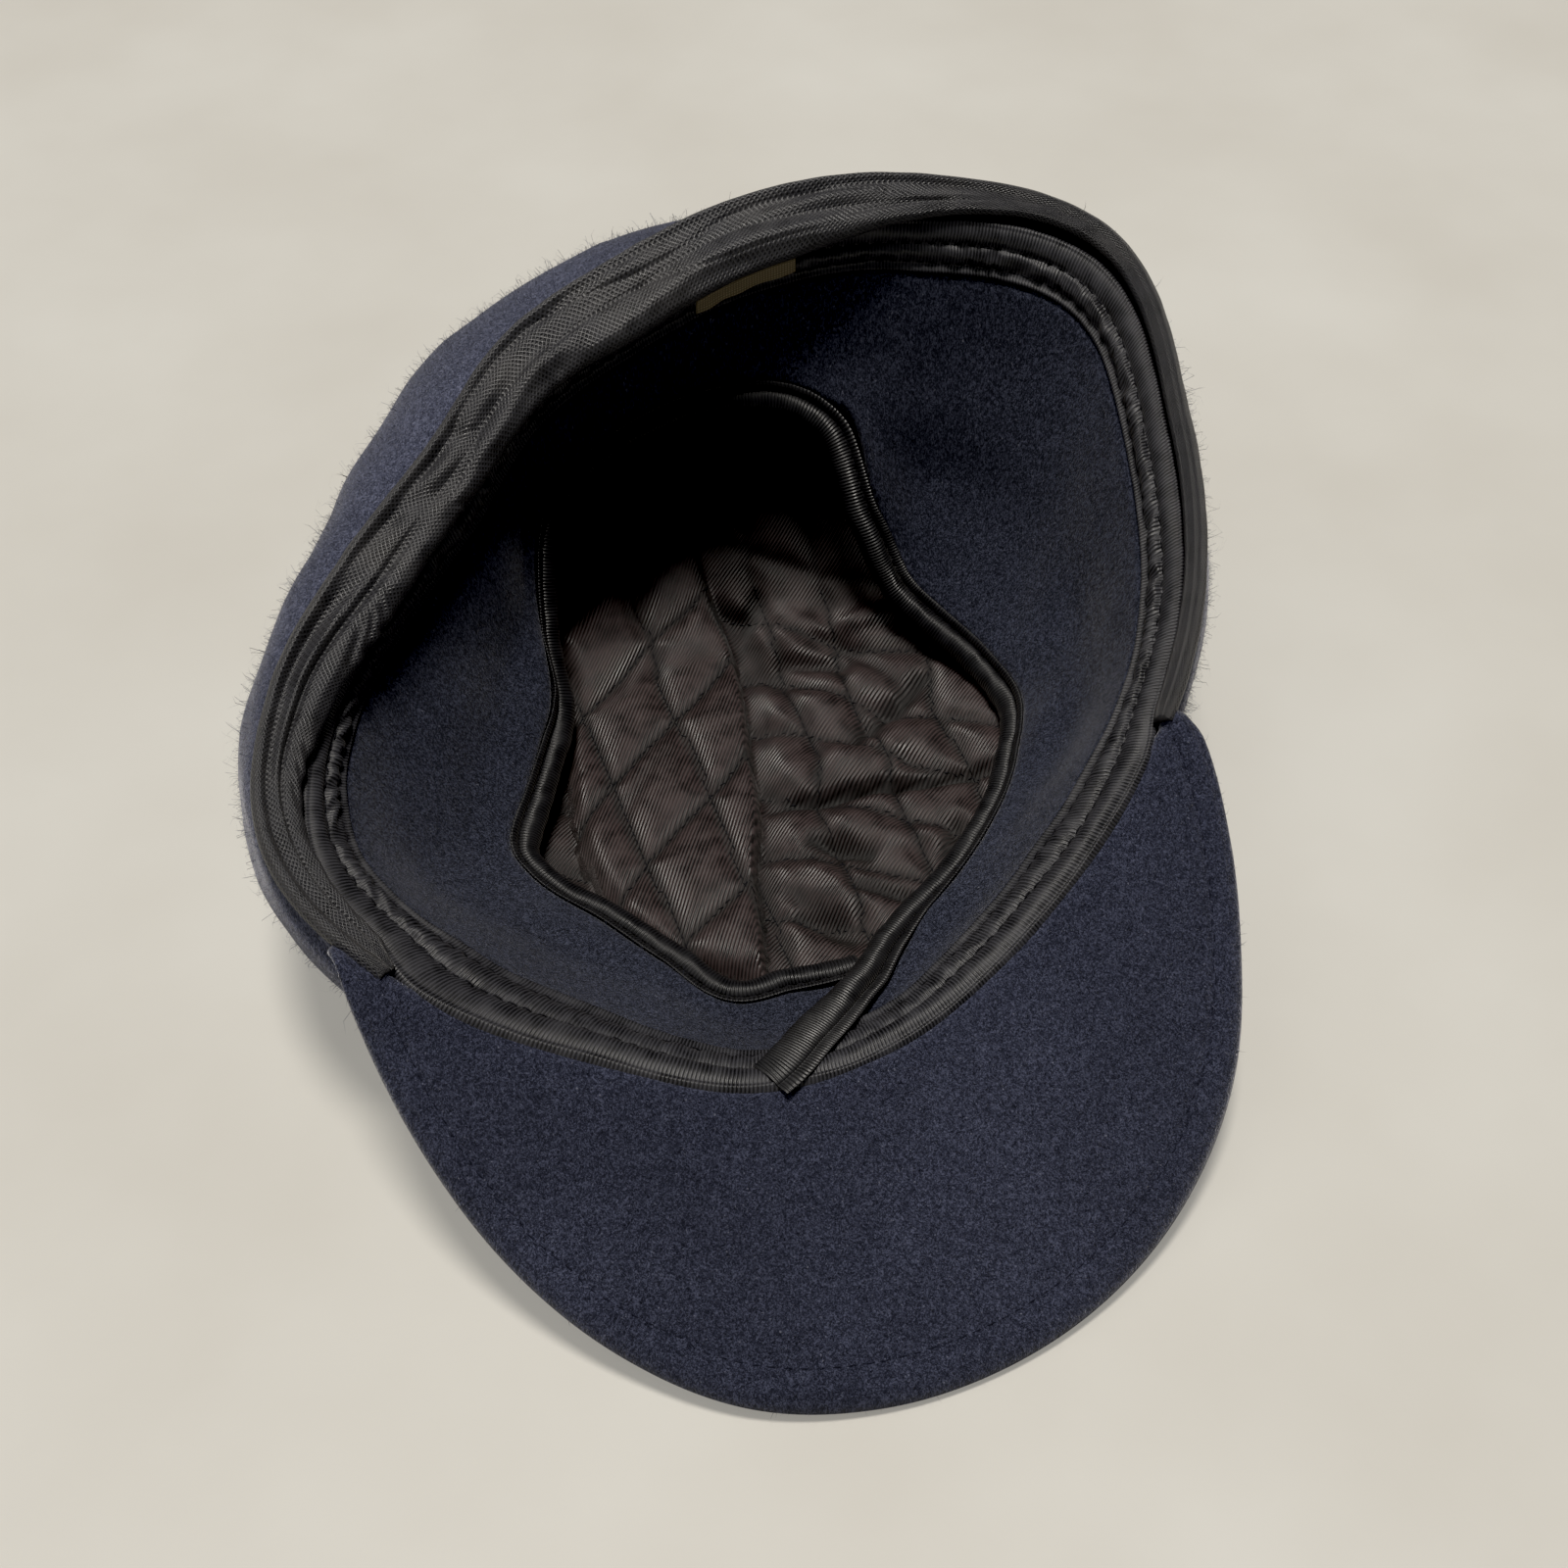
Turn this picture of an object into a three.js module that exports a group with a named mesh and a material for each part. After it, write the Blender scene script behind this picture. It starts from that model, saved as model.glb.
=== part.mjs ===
// Earflap cap lying on its crown with the flap folded inside and the peak's tip on the floor.
// Millimetres, +Z up from the floor, -Y towards the peak, origin at the middle of the resting face.
import * as THREE from 'three';

// Cloth thicknesses and clearances.
const WOOL = 2.2;
const QUILT = 2.4;
const FLAP = 3.0;
const STIFF = 4.2;
const TAPE = 1.6;
const SATIN = 2.0;
const GAP = 0.3;

// Crown: flat resting face and roundness of the wall above it.
const FOOT = 42;
const HEM = 0.5;

// Stations round the crown, peak and bands.
const CROWN_STATIONS = 60;
const BAND_STATIONS = 64;
const BINDING_STATIONS = 56;
const FLAP_STATIONS = 72;
const ROLL_STATIONS = 84;
const PEAK_STATIONS = 32;
const PEAK_CLEAR = 0.9; // binding's outer edge inside the rim, beside the peak's corners
const ROLL_SIDES = 7;

// Rim of the opening. turn: degrees from the peak, reach and rise: place of the rim's outer line,
// bulge: how far the crown stands out past it, drop: how far below it does so, seat: hem below the rim,
// round: 1 for a wall that falls straight to the resting face, 2 for a full round one.
const RIM = [
  { turn: -180, reach: 79, rise: 94, bulge: 21, drop: 15, seat: 2.1, round: 1.7 },
  { turn: -160, reach: 77, rise: 86, bulge: 22.5, drop: 17, seat: 2.2, round: 1.7 },
  { turn: -140, reach: 73.5, rise: 76, bulge: 21, drop: 17, seat: 2.5, round: 1.7 },
  { turn: -120, reach: 79.5, rise: 68, bulge: 14.3, drop: 17, seat: 2.8, round: 1.6 },
  { turn: -100, reach: 91, rise: 60, bulge: 7.3, drop: 15, seat: 2.9, round: 1.4 },
  { turn: -80, reach: 99, rise: 53, bulge: 0.4, drop: 13, seat: 2.7, round: 1.2 },
  { turn: -60, reach: 94, rise: 44, bulge: -1, drop: 13, seat: 4.3, round: 1.1 },
  { turn: -40, reach: 86, rise: 35, bulge: 1, drop: 12, seat: 4.3, round: 1.15 },
  { turn: -20, reach: 83, rise: 28, bulge: 2, drop: 11, seat: 4.3, round: 1.3 },
  { turn: 0, reach: 77, rise: 26, bulge: 3, drop: 11, seat: 4.3, round: 1.4 },
  { turn: 20, reach: 72, rise: 28, bulge: 3, drop: 11, seat: 4.3, round: 1.4 },
  { turn: 40, reach: 73, rise: 35, bulge: 3, drop: 13, seat: 4.3, round: 1.5 },
  { turn: 60, reach: 79, rise: 45, bulge: 3, drop: 17, seat: 4.3, round: 1.6 },
  { turn: 80, reach: 89, rise: 58, bulge: 3, drop: 19, seat: 1.9, round: 1.7 },
  { turn: 100, reach: 100, rise: 74, bulge: 2, drop: 20, seat: 1.9, round: 1.7 },
  { turn: 120, reach: 113, rise: 92, bulge: 2, drop: 20, seat: 2.2, round: 1.7 },
  { turn: 140, reach: 98, rise: 101, bulge: 4, drop: 20, seat: 2.2, round: 1.7 },
  { turn: 160, reach: 87, rise: 100, bulge: 8, drop: 16, seat: 2.1, round: 1.7 },
];

// Dents and soft folds in the crown's wall. spread: half width in degrees, out: depth, minus inwards.
const CROWN_FOLDS = [
  { turn: -172, spread: 11, out: -1 },
  { turn: -128, spread: 9, out: -0.8 },
  { turn: -70, spread: 12, out: 2 },
  { turn: 70, spread: 10, out: -3 },
  { turn: 104, spread: 9, out: 3 },
  { turn: 150, spread: 10, out: -4 },
];

// Inner band. outIn, outDrop: its outer edge inside and below the rim, inIn, inDrop: its inner edge.
const BAND = [
  { turn: -180, outIn: 6, outDrop: 6, inIn: 8, inDrop: 17 },
  { turn: -140, outIn: 6, outDrop: 6, inIn: 8, inDrop: 17 },
  { turn: -110, outIn: 8, outDrop: 6.4, inIn: 11, inDrop: 15 },
  { turn: -90, outIn: 7.6, outDrop: 5.6, inIn: 14, inDrop: 12.5 },
  { turn: -76, outIn: 6.6, outDrop: 5, inIn: 17, inDrop: 11 },
  { turn: -68, outIn: 6, outDrop: 4.6, inIn: 17.5, inDrop: 9.5 },
  { turn: -59, outIn: 0.4, outDrop: 0.4, inIn: 17.5, inDrop: 8 },
  { turn: -30, outIn: 0, outDrop: 0, inIn: 14, inDrop: 7 },
  { turn: 0, outIn: 0, outDrop: 0, inIn: 12.5, inDrop: 6 },
  { turn: 30, outIn: 0, outDrop: 0, inIn: 12.5, inDrop: 6 },
  { turn: 57, outIn: 0.2, outDrop: 0.3, inIn: 12.2, inDrop: 7 },
  { turn: 67, outIn: 3.2, outDrop: 3.6, inIn: 11.6, inDrop: 8.4 },
  { turn: 80, outIn: 3.4, outDrop: 3.8, inIn: 11.2, inDrop: 10 },
  { turn: 100, outIn: 3.6, outDrop: 4, inIn: 11.4, inDrop: 11.5 },
  { turn: 115, outIn: 4, outDrop: 4.4, inIn: 12, inDrop: 12.5 },
  { turn: 130, outIn: 5, outDrop: 5.2, inIn: 10, inDrop: 15 },
  { turn: 150, outIn: 6.5, outDrop: 6.4, inIn: 8, inDrop: 17 },
];

// Gathered rim binding, from the left of the peak round the back to its right.
// width: across the rim, lean: inner edge below the outer, roll: height of its three rolls.
const BINDING = [
  { turn: -62.5, width: 2.4, lean: 0.4, roll: 0.2 },
  { turn: -64.5, width: 4, lean: 1.2, roll: 0.6 },
  { turn: -67, width: 6, lean: 2.2, roll: 1 },
  { turn: -78, width: 7, lean: 2.6, roll: 1.2 },
  { turn: -90, width: 7.4, lean: 3, roll: 1.3 },
  { turn: -99, width: 10, lean: 3.6, roll: 1.4 },
  { turn: -112, width: 12, lean: 4.6, roll: 1.4 },
  { turn: -128, width: 11, lean: 5, roll: 1.3 },
  { turn: -142, width: 10.6, lean: 5.6, roll: 1 },
  { turn: -162, width: 12.6, lean: 6.6, roll: 0.8 },
  { turn: -180, width: 14, lean: 7.6, roll: 0.7 },
  { turn: -204, width: 13.5, lean: 7.4, roll: 0.7 },
  { turn: -213, width: 11.5, lean: 6, roll: 0.7 },
  { turn: -220, width: 8.6, lean: 4, roll: 0.7 },
  { turn: -227, width: 5.8, lean: 2.6, roll: 0.6 },
  { turn: -235, width: 3.9, lean: 1.6, roll: 0.5 },
  { turn: -250, width: 3.3, lean: 1.2, roll: 0.45 },
  { turn: -275, width: 3.2, lean: 1.2, roll: 0.4 },
  { turn: -294, width: 3, lean: 1, roll: 0.35 },
  { turn: -297, width: 2.4, lean: 0.5, roll: 0.2 },
];

// Free edge of the earflap, from its left front end round the back to its right front end.
const FLAP_EDGE = [
  { turn: 6, reach: 46.5, rise: 9.6 },
  { turn: -12, reach: 46.5, rise: 10.2 },
  { turn: -25, reach: 49.5, rise: 10.8 },
  { turn: -41, reach: 44.5, rise: 12.4 },
  { turn: -62, reach: 43, rise: 13 },
  { turn: -83, reach: 48, rise: 13 },
  { turn: -92, reach: 49.5, rise: 13 },
  { turn: -108, reach: 45.5, rise: 13.5 },
  { turn: -125, reach: 45, rise: 15 },
  { turn: -138, reach: 48, rise: 18 },
  { turn: -147, reach: 57, rise: 27 },
  { turn: -158, reach: 66, rise: 46 },
  { turn: -175, reach: 69, rise: 57 },
  { turn: -200, reach: 73, rise: 60 },
  { turn: -213, reach: 71, rise: 54 },
  { turn: -221, reach: 63.5, rise: 38 },
  { turn: -228, reach: 62, rise: 24 },
  { turn: -238, reach: 62, rise: 17.5 },
  { turn: -253, reach: 61.5, rise: 15 },
  { turn: -266, reach: 60.5, rise: 14 },
  { turn: -280, reach: 54, rise: 13 },
  { turn: -304, reach: 46.5, rise: 12.5 },
  { turn: -331, reach: 43.5, rise: 12.5 },
  { turn: -346, reach: 47, rise: 14.5 },
  { turn: -357, reach: 54, rise: 17.2 },
];

// The edge binding runs on past the flap's right front end, over the band to the peak.
const BINDING_TAIL = [
  { turn: -363, reach: 59, rise: 20.6 },
  { turn: -370, reach: 67, rise: 26 },
  { turn: -376, reach: 77, rise: 30.2 },
  { turn: -378, reach: 79.6, rise: 30.6 },
];
const ROLL_WIDTH = 6.4;
const ROLL_HEIGHT = 4.4;
const FLAP_SEAT = 1.6;
const FLAP_END = -353;

// Outer edge of the peak, its upper face.
const PEAK_EDGE = [
  { turn: -68.5, reach: 98.6, rise: 48.2 },
  { turn: -65.5, reach: 100, rise: 48.2 },
  { turn: -61, reach: 102.8, rise: 41.5 },
  { turn: -51.5, reach: 109.2, rise: 29 },
  { turn: -41.5, reach: 116, rise: 17 },
  { turn: -30.5, reach: 123.5, rise: 9.2 },
  { turn: -20, reach: 129.5, rise: 5.8 },
  { turn: -10, reach: 130.7, rise: 4.4 },
  { turn: 0, reach: 129, rise: 4.3 },
  { turn: 10.5, reach: 125.3, rise: 5.6 },
  { turn: 21, reach: 120, rise: 9.4 },
  { turn: 32.5, reach: 112.4, rise: 16.5 },
  { turn: 43, reach: 103, rise: 26 },
  { turn: 52.5, reach: 95, rise: 36 },
  { turn: 61.5, reach: 87.2, rise: 46 },
  { turn: 64.5, reach: 83.4, rise: 47.8 },
];

// Ridge of the lining where its raised left panel ends.
const RIDGE = [
  { turn: -60, side: -13 },
  { turn: -42, side: -11 },
  { turn: -25, side: -9 },
  { turn: -9, side: -2 },
  { turn: 1, side: 1 },
  { turn: 24, side: 5 },
  { turn: 39, side: 7 },
  { turn: 60, side: 5 },
];
const PANEL_HEIGHT = 7;
const PANEL_WIDTH = 46;
const PANEL_STEP = 5;

// Wrinkles of the lining's right panel, each a soft ridge between two places on the floor plan.
const WRINKLES = [
  { fromX: 8, fromY: 6, toX: 48, toY: 10, width: 5, height: 3 },
  { fromX: 4, fromY: -12, toX: 34, toY: -6, width: 5, height: 2.4 },
  { fromX: 12, fromY: 22, toX: 44, toY: 30, width: 6, height: 3 },
  { fromX: 0, fromY: -26, toX: 20, toY: -30, width: 5, height: 2 },
  { fromX: 16, fromY: 38, toX: 30, toY: 52, width: 6, height: 2.5 },
];

// Label hanging below the binding at the back.
const LABEL_FROM = 154;
const LABEL_TO = 170;
const LABEL_DROP = 5;
const LABEL_CLOTH = 0.8;

/** Smooth curve through one column of a table; a period closes it into a ring. */
function curve(rows, column, period = 0) {
  const sorted = [...rows].sort((one, two) => one.turn - two.turn);
  const keys = sorted.map((row) => row.turn);
  const values = sorted.map((row) => row[column]);
  if (period > 0) {
    const count = sorted.length;
    for (let step = 0; step < 2; step += 1) {
      keys.push(sorted[step].turn + period);
      values.push(sorted[step][column]);
    }
    for (let step = 1; step <= 2; step += 1) {
      keys.unshift(sorted[count - step].turn - period);
      values.unshift(sorted[count - step][column]);
    }
  }
  const last = keys.length - 1;
  const slope = (at) => {
    const before = Math.max(at - 1, 0);
    const after = Math.min(at + 1, last);
    return (values[after] - values[before]) / (keys[after] - keys[before]);
  };
  return (turn) => {
    let key = turn;
    if (period > 0) {
      key = THREE.MathUtils.euclideanModulo(turn + period / 2, period) - period / 2;
    }
    key = THREE.MathUtils.clamp(key, keys[0], keys[last]);
    let at = 0;
    while (at < last - 1 && key > keys[at + 1]) {
      at += 1;
    }
    const span = keys[at + 1] - keys[at];
    const part = (key - keys[at]) / span;
    const squared = part * part;
    const cubed = squared * part;
    return values[at] * (2 * cubed - 3 * squared + 1)
      + slope(at) * span * (cubed - 2 * squared + part)
      + values[at + 1] * (3 * squared - 2 * cubed)
      + slope(at + 1) * span * (cubed - squared);
  };
}

const rimReach = curve(RIM, 'reach', 360);
const rimRise = curve(RIM, 'rise', 360);
const rimBulge = curve(RIM, 'bulge', 360);
const rimDrop = curve(RIM, 'drop', 360);
const rimSeat = curve(RIM, 'seat', 360);
const rimRound = curve(RIM, 'round', 360);
const bandOutIn = curve(BAND, 'outIn', 360);
const bandOutDrop = curve(BAND, 'outDrop', 360);
const bandInIn = curve(BAND, 'inIn', 360);
const bandInDrop = curve(BAND, 'inDrop', 360);
const bindingWidth = curve(BINDING, 'width');
const bindingLean = curve(BINDING, 'lean');
const bindingRoll = curve(BINDING, 'roll');
const flapReach = curve(FLAP_EDGE, 'reach');
const flapRise = curve(FLAP_EDGE, 'rise');
const rollReach = curve([...FLAP_EDGE, ...BINDING_TAIL], 'reach');
const rollRise = curve([...FLAP_EDGE, ...BINDING_TAIL], 'rise');
const peakReach = curve(PEAK_EDGE, 'reach');
const peakRise = curve(PEAK_EDGE, 'rise');
const ridgeSide = curve(RIDGE, 'side');

/** Point at a turn from the peak, a reach from the middle and a rise above the floor. */
function spot(turn, reach, rise) {
  const angle = THREE.MathUtils.degToRad(turn);
  return new THREE.Vector3(reach * Math.sin(angle), -reach * Math.cos(angle), rise);
}

/** Evenly spaced values from one end to the other. */
function steps(from, to, count) {
  return Array.from({ length: count + 1 }, (unused, at) => from + (to - from) * at / count);
}

/** How far the crown's folds push its wall out at a turn. */
function foldOut(turn) {
  let out = 0;
  for (const fold of CROWN_FOLDS) {
    const away = THREE.MathUtils.euclideanModulo(turn - fold.turn + 180, 360) - 180;
    out += fold.out * Math.exp(-((away / fold.spread) ** 2));
  }
  return out;
}

/** Point of the crown's wall. part: 0 hem, 1 widest line, 2 edge of the resting face, 3 its middle. */
function wall(turn, part, depth) {
  const hem = rimReach(turn) - HEM;
  const top = rimRise(turn) - rimSeat(turn);
  const wide = rimReach(turn) + rimBulge(turn) - depth;
  const level = rimRise(turn) - rimDrop(turn);
  if (part <= 1) {
    const angle = part * Math.PI / 2;
    const out = foldOut(turn) * Math.sin(angle) ** 2;
    const reach = hem + (wide - hem) * Math.sin(angle) + out;
    return spot(turn, reach, level + (top - depth - level) * Math.cos(angle));
  }
  if (part <= 2) {
    const angle = (part - 1) * Math.PI / 2;
    const power = 2 / rimRound(turn);
    const out = foldOut(turn) * Math.cos(angle);
    const reach = FOOT + (wide - FOOT + out) * Math.cos(angle) ** power;
    return spot(turn, reach, depth + (level - depth) * (1 - Math.sin(angle) ** power));
  }
  return spot(turn, FOOT * (3 - part), depth);
}

/** Height of the lining's raised panel and wrinkles above its plain floor. */
function liningLift(x, y) {
  const left = ridgeSide(y) - x;
  const ends = THREE.MathUtils.smoothstep(y, -52, -30) * (1 - THREE.MathUtils.smoothstep(y, 40, 70));
  const step = THREE.MathUtils.smoothstep(left, -PANEL_STEP / 2, PANEL_STEP / 2);
  const fade = THREE.MathUtils.clamp(1 - left / PANEL_WIDTH, 0, 1);
  let lift = PANEL_HEIGHT * step * fade * ends;
  for (const row of WRINKLES) {
    const alongX = row.toX - row.fromX;
    const alongY = row.toY - row.fromY;
    const length = Math.hypot(alongX, alongY);
    const part = ((x - row.fromX) * alongX + (y - row.fromY) * alongY) / length ** 2;
    const across = ((x - row.fromX) * alongY - (y - row.fromY) * alongX) / length;
    const window = Math.sin(Math.PI * THREE.MathUtils.clamp(part, 0, 1));
    lift += row.height * window * Math.exp(-((across / row.width) ** 2));
  }
  return lift;
}

/** Indexed mesh from points and triangles. */
function meshOf(points, faces) {
  const geometry = new THREE.BufferGeometry();
  geometry.setAttribute('position', new THREE.Float32BufferAttribute(points.flatMap((p) => [p.x, p.y, p.z]), 3));
  geometry.setIndex(faces.flat());
  geometry.computeVertexNormals();
  return geometry;
}

/** Solid swept through closed sections, capped at its ends or joined into a ring. */
function sweep(sections, ring) {
  const sides = sections[0].length;
  const count = sections.length;
  const points = sections.flat();
  const faces = [];
  const spans = ring ? count : count - 1;
  for (let at = 0; at < spans; at += 1) {
    const here = at * sides;
    const there = ((at + 1) % count) * sides;
    for (let side = 0; side < sides; side += 1) {
      const next = (side + 1) % sides;
      faces.push([here + side, there + side, there + next]);
      faces.push([here + side, there + next, here + next]);
    }
  }
  if (!ring) {
    for (const [at, flip] of [[0, false], [count - 1, true]]) {
      const middle = new THREE.Vector3();
      sections[at].forEach((point) => middle.add(point));
      points.push(middle.divideScalar(sides));
      for (let side = 0; side < sides; side += 1) {
        const one = at * sides + side;
        const two = at * sides + (side + 1) % sides;
        faces.push(flip ? [points.length - 1, two, one] : [points.length - 1, one, two]);
      }
    }
  }
  return facingOut(points, faces);
}

/** Cloth bowl between an outer and an inner skin, each given as rings ending at a middle point. */
function bowl(outer, inner, stations) {
  const points = [];
  const faces = [];
  const skins = [outer, inner].map((skin) => {
    const starts = skin.rings.map((ring) => {
      points.push(...ring);
      return points.length - ring.length;
    });
    points.push(skin.middle);
    return { starts, middle: points.length - 1 };
  });
  skins.forEach((skin, which) => {
    const add = (one, two, three) => faces.push(which === 0 ? [one, two, three] : [one, three, two]);
    for (let side = 0; side < stations; side += 1) {
      const next = (side + 1) % stations;
      for (let at = 0; at < skin.starts.length - 1; at += 1) {
        const here = skin.starts[at];
        const below = skin.starts[at + 1];
        add(here + side, below + side, below + next);
        add(here + side, below + next, here + next);
      }
      const foot = skin.starts[skin.starts.length - 1];
      add(foot + side, skin.middle, foot + next);
    }
  });
  for (let side = 0; side < stations; side += 1) {
    const next = (side + 1) % stations;
    faces.push([skins[1].starts[0] + side, skins[0].starts[0] + side, skins[0].starts[0] + next]);
    faces.push([skins[1].starts[0] + side, skins[0].starts[0] + next, skins[1].starts[0] + next]);
  }
  return facingOut(points, faces);
}

/** Turns every triangle over when the solid would face inwards. */
function facingOut(points, faces) {
  let volume = 0;
  for (const [one, two, three] of faces) {
    volume += points[one].dot(points[two].clone().cross(points[three]));
  }
  const outward = volume < 0 ? faces.map(([one, two, three]) => [one, three, two]) : faces;
  return meshOf(points, outward);
}

/** Closed section of a cloth strip: points of its middle line thickened across the strip. */
function stripSection(line, thickness, across) {
  const upper = [];
  const lower = [];
  line.forEach((point, at) => {
    const before = line[Math.max(at - 1, 0)];
    const after = line[Math.min(at + 1, line.length - 1)];
    const normal = after.clone().sub(before).cross(across).normalize();
    if (normal.z < 0) {
      normal.negate();
    }
    upper.push(point.clone().addScaledVector(normal, thickness / 2));
    lower.push(point.clone().addScaledVector(normal, -thickness / 2));
  });
  return [...upper, ...lower.reverse()];
}

/** Direction round the rim at a turn. */
function roundTheRim(turn) {
  const angle = THREE.MathUtils.degToRad(turn);
  return new THREE.Vector3(Math.cos(angle), Math.sin(angle), 0);
}

/** Wool crown, hem to resting face. */
function crownShell() {
  const turns = steps(-180, 180, CROWN_STATIONS).slice(0, -1);
  const parts = [...steps(0, 1, 4), ...steps(1, 2, 6).slice(1)];
  const skin = (depth) => ({
    rings: parts.map((part) => turns.map((turn) => wall(turn, part, depth))),
    middle: new THREE.Vector3(0, 0, depth),
  });
  return bowl(skin(0), skin(WOOL), CROWN_STATIONS);
}

/** Quilted lining with its raised left panel and the wrinkled right one. */
function crownLining() {
  const turns = steps(-180, 180, CROWN_STATIONS).slice(0, -1);
  const parts = [...steps(1, 2, 6).slice(1), 2.22, 2.42, 2.62, 2.82];
  const lifted = (point) => point.setZ(point.z + liningLift(point.x, point.y));
  const skin = (depth) => ({
    rings: parts.map((part) => turns.map((turn) => lifted(wall(turn, part, depth)))),
    middle: lifted(new THREE.Vector3(0, 0, depth)),
  });
  return bowl(skin(WOOL + GAP), skin(WOOL + GAP + QUILT), CROWN_STATIONS);
}

/** Stiff peak from the rim to its rounded edge. */
function peak() {
  const turns = steps(PEAK_EDGE[0].turn, PEAK_EDGE[PEAK_EDGE.length - 1].turn, PEAK_STATIONS);
  const sections = turns.map((turn) => {
    const root = rimReach(turn) + GAP;
    const tip = peakReach(turn);
    const rootRise = rimRise(turn) + 0.3;
    const tipRise = peakRise(turn);
    const on = (part, below, past) => {
      const reach = root + (tip - root) * part + past;
      return spot(turn, reach, rootRise + (tipRise - rootRise) * part - below);
    };
    const upper = steps(0, 1, 4).map((part) => on(part, part === 1 ? 0.5 : 0, part === 1 ? -0.4 : 0));
    const lower = steps(1, 0, 3).map((part) => on(part, part === 1 ? STIFF - 0.6 : STIFF, part === 1 ? -0.4 : 0));
    return [...upper, on(1, STIFF / 2, 0), ...lower];
  });
  return sweep(sections, false);
}

/** Tape inside the rim. */
function innerBand() {
  const turns = steps(-180, 180, BAND_STATIONS).slice(0, -1);
  const sections = turns.map((turn) => {
    const reach = rimReach(turn);
    const rise = rimRise(turn);
    const outer = spot(turn, reach - bandOutIn(turn) - TAPE / 2, rise - bandOutDrop(turn));
    const inner = spot(turn, reach - bandInIn(turn), rise - bandInDrop(turn));
    const middle = outer.clone().lerp(inner, 0.45);
    middle.z += 0.7;
    return stripSection([outer, middle, inner], TAPE, roundTheRim(turn));
  });
  return sweep(sections, true);
}

/** How far the binding lies inside the rim where it runs beside the peak. */
function besidePeak(turn) {
  const left = turn - PEAK_EDGE[0].turn;
  const right = PEAK_EDGE[PEAK_EDGE.length - 1].turn - 360 - turn;
  return PEAK_CLEAR * Math.min(1, Math.max(0, 1 + Math.max(left, right) / 4));
}

/** Gathered binding over the rim, three rolls wide. */
function rimBinding() {
  const ends = [BINDING[0].turn, BINDING[BINDING.length - 1].turn];
  const sections = steps(ends[0], ends[1], BINDING_STATIONS).map((turn) => {
    const reach = rimReach(turn) - besidePeak(turn);
    const rise = rimRise(turn);
    const line = steps(0, 1, 6).map((part) => {
      const roll = -bindingRoll(turn) * Math.cos(part * 6 * Math.PI);
      const lean = bindingLean(turn) * part ** 1.6;
      return spot(turn, reach - part * bindingWidth(turn), rise + roll - lean);
    });
    return stripSection(line, SATIN, roundTheRim(turn));
  });
  return sweep(sections, false);
}

/** Where the flap leaves the band. */
function flapRoot(turn) {
  const reach = rimReach(turn) - bandInIn(turn);
  return spot(turn, reach, rimRise(turn) - bandInDrop(turn) - FLAP_SEAT);
}

/** Wool earflap from the band to its free edge. */
function earflap() {
  const sections = steps(FLAP_EDGE[0].turn, FLAP_END, FLAP_STATIONS).map((turn) => {
    const root = flapRoot(turn);
    const edge = spot(turn, flapReach(turn), flapRise(turn));
    const beside = spot(turn - 0.5, flapReach(turn - 0.5), flapRise(turn - 0.5));
    const slant = beside.sub(edge).angleTo(root.clone().sub(edge));
    const inset = (ROLL_WIDTH / 2 + 1.5 * GAP) / Math.max(Math.sin(slant), 0.3) / root.distanceTo(edge);
    const line = steps(0, 1, 4).map((part) => {
      const point = root.clone().lerp(edge, part * (1 - inset));
      point.z -= 0.1 * root.distanceTo(edge) * Math.sin(Math.PI * part) * 0.8;
      return point;
    });
    return stripSection(line, FLAP, roundTheRim(turn));
  });
  return sweep(sections, false);
}

/** Rolled binding along the flap's free edge. */
function flapBinding() {
  const from = FLAP_EDGE[0].turn;
  const to = BINDING_TAIL[BINDING_TAIL.length - 1].turn;
  const turns = steps(from, to, ROLL_STATIONS);
  const path = turns.map((turn) => spot(turn, rollReach(turn), rollRise(turn)));
  const sections = turns.map((turn, at) => {
    const before = path[Math.max(at - 1, 0)];
    const after = path[Math.min(at + 1, path.length - 1)];
    const along = after.clone().sub(before).normalize();
    const out = spot(turn, 1, 0).addScaledVector(along, -along.dot(spot(turn, 1, 0)));
    const slope = flapRoot(turn).sub(path[at]);
    out.addScaledVector(new THREE.Vector3(0, 0, 1), 0.5 * slope.z / slope.length());
    out.addScaledVector(along, -along.dot(out)).normalize();
    const up = along.clone().cross(out);
    return steps(0, 2 * Math.PI, ROLL_SIDES).slice(0, -1).map((angle) => path[at].clone()
      .addScaledVector(out, Math.cos(angle) * ROLL_WIDTH / 2)
      .addScaledVector(up, Math.sin(angle) * ROLL_HEIGHT / 2));
  });
  return sweep(sections, false);
}

/** Woven label below the binding. */
function label() {
  const sections = steps(LABEL_FROM, LABEL_TO, 6).map((turn) => {
    const reach = rimReach(turn) - bindingWidth(turn - 360);
    const rise = rimRise(turn) - bindingLean(turn - 360) - SATIN / 2 - GAP - 0.3;
    const line = [spot(turn, reach + 0.6, rise), spot(turn, reach + 1, rise - LABEL_DROP)];
    return stripSection(line, LABEL_CLOTH, roundTheRim(turn));
  });
  return sweep(sections, false);
}

const PIECES = [
  { name: 'crown_shell', make: crownShell, colour: 0x232838 },
  { name: 'crown_lining', make: crownLining, colour: 0x38302e },
  { name: 'peak', make: peak, colour: 0x252a3b },
  { name: 'inner_band', make: innerBand, colour: 0x1e1d1d },
  { name: 'rim_binding', make: rimBinding, colour: 0x262525 },
  { name: 'earflap', make: earflap, colour: 0x232838 },
  { name: 'flap_binding', make: flapBinding, colour: 0x201f1f },
  { name: 'label', make: label, colour: 0xb5a070 },
];

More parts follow.
